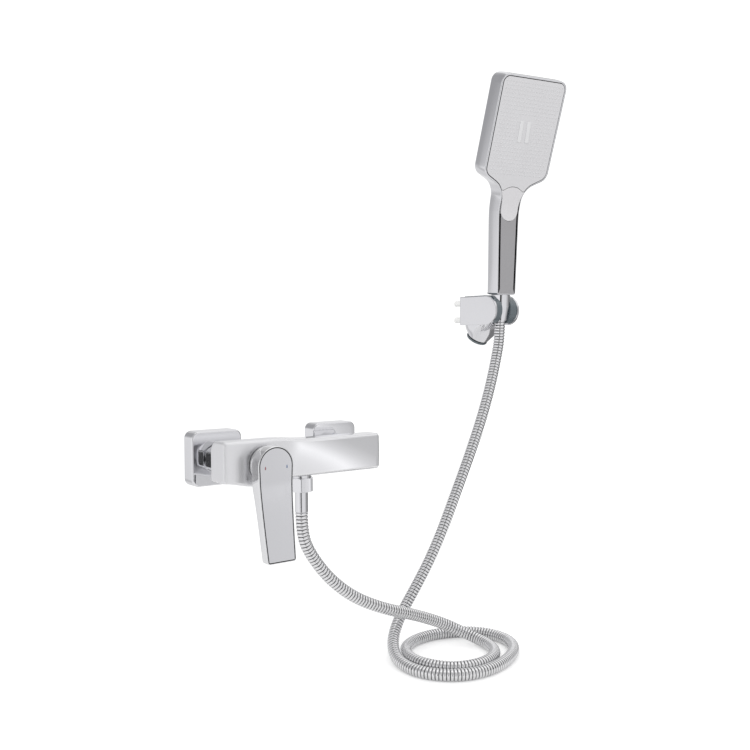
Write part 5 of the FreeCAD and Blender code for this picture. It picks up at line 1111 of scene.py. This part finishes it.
def handle_grip():
    """Grip panel: rows run across the handle and end along the button's round lower edge."""
    share = np.sin(np.linspace(-math.pi / 2, math.pi / 2, 41))
    reach = TONGUE_RADIUS + TONGUE_SEAM
    top = TONGUE_CENTRE - np.sqrt(np.maximum(reach ** 2 - (share * (reach + 0.25)) ** 2, 0))
    heights = hand_inset(GRIP_SEAM_INSET)[:, 1]
    foot = heights[heights < GRIP_FOOT]
    grow = np.concatenate([(foot - foot[0]) / GRIP_HEIGHT, np.linspace(0.06, 1, 30)])
    up = foot[0] + (top[None] - foot[0]) * grow[:, None]
    across = share[None] * hand_width(up, GRIP_SEAM_INSET)
    # The grip's sides are painted shade, black in the seam.
    shape = plate_shape(hand_place(across, up, 0.02), hand_place(across, up, PANEL_DEPTH), 1)
    piece = make("handle_grip", shape, [GRIP_SATIN, SEAM_SHADE_BLACK], "hand_shower", ["grip_panel"])
    return soften(piece, 0.25)


def own_copy(node, *materials):
    """A copy of a node's mesh, in other materials."""
    mesh = frame["nodes"][node].data.copy()
    mesh.materials.clear()
    for material in materials:
        mesh.materials.append(material)
    return mesh


def button_spring():
    """Spring behind the button: a copy of the node's mesh in plain steel, with its place baked into its
    points.
    """
    mesh = own_copy("button_spring", PLAIN_STEEL)
    piece = put_in_scene("button_spring_coil", mesh)
    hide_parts("button_spring")
    inwards = unit(hand_place(0, 100, 10) - hand_place(0, 100, 0))
    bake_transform(piece)
    return piece


def nozzle_nubs():
    """Soft nozzles in rows and columns on the spray face: small domes, each four rings of nine points.

    A dome's radius at each height is roughly that of a low ellipse, and it stands square to the face."""
    columns = (np.arange(NUB_COLUMNS) - NUB_COLUMNS // 2) * NUB_PITCH
    rows = np.arange(NUB_ROWS) * NUB_PITCH + NUB_FIRST
    across, up = np.meshgrid(columns, rows)
    across = (across + NUB_PITCH / 2 * (np.arange(NUB_ROWS) % 2)[:, None]).ravel()
    up = up.ravel()
    height = up - FACE_OFFSET
    bars = ((across > BAR_FIELD[0]) & (across < BAR_FIELD[1])
            & (height > BAR_LOW - BAR_CLEAR) & (height < BAR_HIGH + BAR_CLEAR))
    kept = (np.abs(across) < hand_width(up, 5.0)) & ~bars
    angle = round_angles(9)
    radius, depth = np.array(NUB_RINGS).T[:, None, :, None]
    ring_across = across[kept][:, None, None] + radius * np.cos(angle)
    ring_up = up[kept][:, None, None] + radius * np.sin(angle)
    shape = Shape()
    for dome in hand_place(ring_across, ring_up, np.broadcast_to(depth, ring_up.shape)):
        shape.add(dome, wrap_columns=True).add_disc(dome[0]).add_disc(dome[-1])
    return make("nozzle_nubs", shape, [NOZZLE_RUBBER], "hand_shower", ["nozzle_mat"],
                sharp=60)


def middle_bars():
    """The two leaning bars of the middle jets, raised with rounded edges."""
    shape = Shape()
    for low_left, low_right, high_left, high_right in BAR_SIDES:
        section = corner_arcs([(low_left, BAR_LOW, 1.0), (low_right, BAR_LOW, 1.0),
                               (high_right, BAR_HIGH, 1.0), (high_left, BAR_HIGH, 1.0)], 5)
        middle = section.mean(0)
        rings = []
        for size, depth in ((1.0, 1.0), (1.0, -0.5), (0.96, -0.75), (0.86, -0.85)):
            across, up = (middle + (section - middle) * (1 - (1 - size) * np.array([2.2, 0.5]))).T
            rings.append(hand_place(across, up + FACE_OFFSET, depth))
        shape.add(np.stack(rings), wrap_columns=True).add_disc(rings[0]).add_disc(rings[-1])
    return make("middle_jet_bars", shape, [JET_PLASTIC], "hand_shower", ["middle_jets"])


def cone_nut():
    """Cone nut: straight with a small collar step, then drawn in towards the hose."""
    shape = turned([(10.3, 0, 0.1), (11.8, 0, 0.5), (11.8, 14.8, 2.0), (8.4, 33, 0.6), (7.2, 33, 0.3),
                    (7.2, 14, 0.1), (10.3, 14, 0.1)], along_seat(-0.1), -SEAT_AXIS, steps=96)
    return make("cone_nut_skin", shape, [TURNED_CHROME], "hand_shower", ["cone_nut"])


def ferrule(node, top, direction, length, body):
    """Smooth sleeve pressed round a hose end."""
    shape = turned([(5.2, 0, 0.2), (7.0, 0, 0.5), (7.0, length, 0.45), (5.2, length, 0.2)], top, direction)
    return make(node + "_skin", shape, [TURNED_CHROME], body, [node])


def nuts():
    """The two union nuts and the nut of the hose, each as long as its node."""
    for node, x in (("union_nut_left", -INLET_X), ("union_nut_right", INLET_X)):
        low, high = node_box(node)
        shape = nut((x, high[1], AXIS_Z), OUTWARDS, UNION_FLATS, high[1] - low[1], UNION_BORE)
        make(node + "_skin", shape, [TURNED_CHROME], "fixed", [node])
    low, high = node_box("hose_nut")
    shape = nut((OUTLET_X, -OUTLET_DEPTH, high[2]), DOWN, HOSE_NUT_FLATS, high[2] - low[2], HOSE_NUT_BORE,
                turned_by=math.pi / 6)
    return make("hose_nut_skin", shape, [TURNED_CHROME], "fixed", ["hose_nut"])


def cheek_half():
    """Upper half of a bracket cheek's outline: straight from the wall, then a quarter circle."""
    angle = np.linspace(0, math.radians(86), 20)
    front = np.stack([BRACKET_HALF * np.cos(angle), BRACKET_ROUND + BRACKET_HALF * np.sin(angle)], 1)
    inset, drop = quarter_round(CHEEK_CORNER, 4)
    back = np.stack([BRACKET_HALF - inset, BRACKET_BACK + drop], 1)
    return np.vstack([[[2.0, BRACKET_BACK]], back, front])


def collar_ring(radius, along):
    """A ring round the tilted collar's axis, and how far along the axis it lies."""
    tilt = math.radians(COLLAR_TILT)
    axis = np.array([0, math.sin(tilt), -math.cos(tilt)])
    upward = np.array([0, math.cos(tilt), math.sin(tilt)])
    angle = round_angles(COLLAR_STEPS)[:, None]
    return (COLLAR_CENTRE + axis * along + radius
            * (np.cos(angle) * np.array([1.0, 0, 0]) + np.sin(angle) * upward))


def oblong():
    """The chin's top loop: a superellipse, whose cosine and sine keep their sign under a low power."""
    circle = np.stack([np.cos(round_angles(COLLAR_STEPS)), np.sin(round_angles(COLLAR_STEPS))], 1)
    flat = np.array(CHIN_MIDDLE) + CHIN_HALF * np.sign(circle) * np.abs(circle) ** CHIN_POWER
    return np.column_stack([flat, np.full(COLLAR_STEPS, CHIN_TOP)])


def bracket_housing():
    """Chromed bracket: two cheeks with rounded rims, and a chin that draws in to the tilted collar.

    The chin's rings go from an oblong under the cheeks to the collar's circle in even shares, and are
    swollen by a sine between the two."""
    layers = [(1.1, 0.0), (0.6, 0.08), (0.25, 0.32), (0.05, 0.75), (0.0, 1.2), (0.0, CHEEK - 0.3),
              (0.3, CHEEK)]
    shape = Shape()
    for side, outer in ((1, BRACKET_LEFT), (-1, BRACKET_RIGHT)):
        shape.take(slab(cheek_half(), layers, lambda across, up, depth: np.stack(
            np.broadcast_arrays(outer + side * depth, -up, BRACKET_MIDDLE + across), -1)))
    top, mouth = oblong(), collar_ring(COLLAR_RADIUS, 0)
    rings = [top]
    for share in np.linspace(0.08, 1, 12):
        drawn = top + (mouth - top) * share
        belly = math.sin(math.pi * share) * CHIN_BELLY
        rings.append(drawn + unit(drawn - drawn.mean(0)) * belly * np.array([1, 1, 0]))
    rings += [collar_ring(COLLAR_RADIUS + inset, along)
              for inset, along in ((-0.3, 0.5), (-1.4, 0.6), (-1.8, -1.5))]
    shape.add(np.stack(rings), wrap_columns=True).add_disc(rings[0]).add_disc(rings[-1])
    return make("bracket_housing_skin", shape, [BRACKET_CHROME], "fixed",
                ["bracket_housing"])


def seat_collar():
    """Dark collar in the chin's mouth: a lip, a rounded edge and a deep hollow."""
    outline = [(-2.6, -1.4), (-2.4, 1.6), (-1.0, 2.2), (-0.5, 2.8), (-0.4, 4.2), (-0.9, 5.0), (-1.8, 5.2),
               (-2.6, 4.8), (-3.0, 3.8), (-4.2, -5.0)]
    rings = [collar_ring(COLLAR_RADIUS + inset, along) for inset, along in outline]
    # The lip and the deep hollow are painted shade in black. The rounded edge between them is the smoked
    # plastic.
    shape = Shape().add(np.stack(rings[:3]), wrap_columns=True, kind=1)
    shape.add(np.stack(rings[2:9]), wrap_columns=True).add(np.stack(rings[8:]), wrap_columns=True, kind=1)
    shape.add_disc(rings[0], kind=1).add_disc(rings[-1], kind=1)
    return make("rear_seat_collar", shape, [SMOKE_DARK, SEAM_SHADE_BLACK], "fixed")


def wall_plate():
    """Plate of the bracket against the wall, between the cheeks."""
    low, high = node_box("bracket_wall_plate")
    middle, size = (low + high) / 2, (high - low) / 2 - (CHEEK - WALL_PLATE_TUCK, 0, WALL_PLATE_SHY)
    corners = [(0, -size[2], 0), (size[0], -size[2], 2.0), (size[0], size[2], 2.0), (0, size[2], 0)]
    half = filled(corner_arcs(corners, 4, False)[1:-1], 6.0)
    layers = [(0.4, 0.0), (0.1, 0.1), (0.0, 0.4), (0.0, 5.4), (0.4, 5.8)]
    shape = slab(half, layers, lambda across, up, depth: np.stack(
        np.broadcast_arrays(middle[0] + across, -depth, middle[2] + up), -1))
    return make("bracket_wall_plate_skin", shape, [PLUG_GREY], "fixed", ["bracket_wall_plate"])


def bracket_liner():
    """Smoked lining between the cheeks, with its two seats: the node's own shape above the chin."""
    mesh = own_copy("bracket_liner")
    with opened(mesh) as work:
        bmesh.ops.remove_doubles(work, verts=work.verts, dist=2e-6)
        everything = list(work.verts) + list(work.edges) + list(work.faces)
        bmesh.ops.bisect_plane(work, geom=everything, plane_co=(0, 0, LINER_CUT * MM), plane_no=(0, 0, 1),
                               clear_inner=True)
        rim = [edge for edge in work.edges if edge.is_boundary]
        bmesh.ops.triangle_fill(work, edges=rim, use_beauty=True, use_dissolve=False)
        bmesh.ops.dissolve_limit(work, angle_limit=math.radians(0.4), verts=work.verts, edges=work.edges)
    piece = finish_mesh("bracket_liner_skin", mesh, [SMOKE_DARK], "fixed",
                        ["bracket_liner"], 32)
    return soften(piece, 0.3, angle=32)


CARRIED = {
    "chrome_thread": TURNED_CHROME, "brass_plain": PLAIN_BRASS, "steel": PLAIN_STEEL,
    "seal_rubber": SEAL_RUBBER, "disc_ceramic": DISC_CERAMIC, "cartridge_plastic": WHITE_PLASTIC,
    "white_plastic": WHITE_PLASTIC, "plug_grey": PLUG_GREY,
}


def dress_carried_nodes():
    """Gives every node that keeps its own shape the material of its finish."""
    for part in frame["record"]["subparts"]:
        node = frame["nodes"].get(part["node"])
        material = CARRIED.get(part.get("material_slot"))
        if part["node"].startswith("inlet_nipple"):
            material = TURNED_CHROME
        if node is not None and material is not None:
            node.data.materials.clear()
            node.data.materials.append(material)


def studio():
    """World light that reflections see as a studio of panels.

    Azimuth is counted from the front towards the right. Near the horizon the tone follows a table of
    azimuths whose edges slant, with two dark strips on the camera's side and a bright one to the right.
    Higher up comes a grey, lighter to the right and darker at the left behind, and then a white panel
    overhead. Everything that isn't a reflection sees an even light, and the camera itself white."""
    world = bpy.data.worlds.new("studio")
    bpy.context.scene.world = world
    world.use_nodes = True
    tree = world.node_tree
    tree.nodes.clear()
    direction = add_node(tree, "ShaderNodeSeparateXYZ",
                         Vector=add_node(tree, "ShaderNodeTexCoord").outputs["Generated"])
    forward = math_node(tree, "MULTIPLY", direction.outputs["Y"], -1.0)
    azimuth = math_node(tree, "MULTIPLY", math_node(tree, "ARCTAN2", direction.outputs["X"], forward),
                        180 / math.pi)
    elevation = math_node(tree, "MULTIPLY", math_node(tree, "ARCSINE", direction.outputs["Z"]),
                          180 / math.pi)
    slant = math_node(tree, "ADD", map_range(tree, elevation, *SLANT_RANGE, smooth=False),
                      map_range(tree, elevation, *UPPER_SLANT_RANGE))
    share = map_range(tree, math_node(tree, "ADD", azimuth, slant), -180.0, 180.0, smooth=False)
    ramp = add_node(tree, "ShaderNodeValToRGB", i0=share)
    elements = ramp.color_ramp.elements
    while len(elements) > 1:
        elements.remove(elements[-1])
    for index, (angle, tone) in enumerate(AROUND):
        element = elements[0] if index == 0 else elements.new((angle + 180) / 360)
        element.position = (angle + 180) / 360
        element.color = (tone / BRIGHTEST, tone / BRIGHTEST, tone / BRIGHTEST * 1.012, 1)
    right = math_node(tree, "MULTIPLY", map_range(tree, azimuth, *RIGHT_BEGINS),
                      map_range(tree, azimuth, *RIGHT_ENDS))
    above = mixed(tree, right, ABOVE_LEFT, ABOVE_RIGHT)
    tone = mixed(tree, map_range(tree, elevation, *ABOVE_BEGINS), ramp.outputs[0], above)
    behind = math_node(tree, "MULTIPLY", map_range(tree, azimuth, *BEHIND_BEGINS),
                       map_range(tree, elevation, *BEHIND_RISES))
    tone = mixed(tree, behind, tone, LEFT_BEHIND)
    tone = mixed(tree, map_range(tree, elevation, *OVERHEAD_BEGINS), tone, WHITE)
    path = add_node(tree, "ShaderNodeLightPath")
    tone = mixed(tree, path.outputs["Is Glossy Ray"], EVEN_LIGHT, tone)
    tone = mixed(tree, path.outputs["Is Camera Ray"], tone, WHITE)
    light = add_node(tree, "ShaderNodeBackground", Color=tone, Strength=BRIGHTEST)
    add_node(tree, "ShaderNodeOutputWorld", Surface=light.outputs[0])


def floor():
    """Pale floor under the coil, white to the camera except where the hose shades it."""
    mesh = bpy.data.meshes.new("floor")
    corners = [(FLOOR_MIDDLE[0] + FLOOR_HALF * x, FLOOR_MIDDLE[1] + FLOOR_HALF * y, FLOOR_Z * MM)
               for x, y in ((-1, -1), (1, -1), (1, 1), (-1, 1))]
    mesh.from_pydata(corners, [], [(0, 1, 2, 3)])
    ground = put_in_scene("floor", mesh)
    material = bpy.data.materials.new("pale_floor")
    material.use_nodes = True
    tree = material.node_tree
    shader = tree.nodes["Principled BSDF"]
    shader.inputs["Base Color"].default_value = (0.8, 0.8, 0.8, 1)
    shader.inputs["Roughness"].default_value = 0.8
    shader.inputs["Specular IOR Level"].default_value = 0.0
    shader.inputs["Emission Color"].default_value = WHITE
    path = add_node(tree, "ShaderNodeLightPath")
    seen = math_node(tree, "ADD", math_node(tree, "MULTIPLY", path.outputs["Is Camera Ray"], FLOOR_GLOW),
                     math_node(tree, "MULTIPLY", path.outputs["Is Glossy Ray"], FLOOR_GLOW_IN_CHROME))
    tree.links.new(seen, shader.inputs["Emission Strength"])
    mesh.materials.append(material)


def lamp():
    """Soft lamp, high on the left in front."""
    data = bpy.data.lights.new("soft_lamp", "AREA")
    data.shape = "SQUARE"
    data.size = LAMP_SIZE
    data.energy = LAMP_POWER
    light = put_in_scene("soft_lamp", data)
    light.location = LAMP_PLACE
    light.rotation_euler = (LAMP_AIM - LAMP_PLACE).to_track_quat("-Z", "Y").to_euler()
    light.visible_camera = False
    light.visible_glossy = False


def camera():
    """Camera at the photograph's place: left of the mixer, looking to the right and a little down."""
    azimuth, pitch, roll = (math.radians(angle) for angle in (CAMERA_TURN, CAMERA_PITCH, CAMERA_ROLL))
    forward = Vector((math.sin(azimuth) * math.cos(pitch), math.cos(azimuth) * math.cos(pitch),
                      -math.sin(pitch)))
    right = Vector((math.cos(azimuth), -math.sin(azimuth), 0))
    up = right.cross(forward)
    across = math.cos(roll) * right + math.sin(roll) * up
    upright = -math.sin(roll) * right + math.cos(roll) * up
    data = bpy.data.cameras.new("camera")
    data.sensor_width = 36.0
    data.lens = CAMERA_LENS
    view = put_in_scene("camera", data)
    view.matrix_world = Matrix((across, upright, -forward)).transposed().to_4x4()
    view.location = CAMERA_PLACE
    bpy.context.scene.camera = view


camera()
hose, hose_path = ribbed_hose()
studio()
floor()
lamp()
bpy.context.scene.view_settings.view_transform = "Standard"

mixer_body()
rosette("rosette_left", -INLET_X)
rosette("rosette_right", INLET_X)
nuts()
cover_dome()
lever_handle()
lever_plate()
temperature_mark("hot_drop", -1, MARK_RED, "hot_mark")
temperature_mark("cold_drop", 1, MARK_BLUE, "cold_mark")
ferrule("ferrule_lower", (OUTLET_X, -OUTLET_DEPTH, HOSE_TOP), DOWN, HOSE_TOP - HOSE_START[2], "fixed")
ferrule("ferrule_upper", along_seat(UPPER_FERRULE_TOP), -SEAT_AXIS, UPPER_FERRULE_LENGTH, "hose_end")
cone_nut()
hand_shell()
spray_face()
nozzle_nubs()
middle_bars()
tongue_button()
button_spring()
handle_grip()
bracket_housing()
seat_collar()
bracket_liner()
wall_plate()
dress_carried_nodes()

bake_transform(hose)
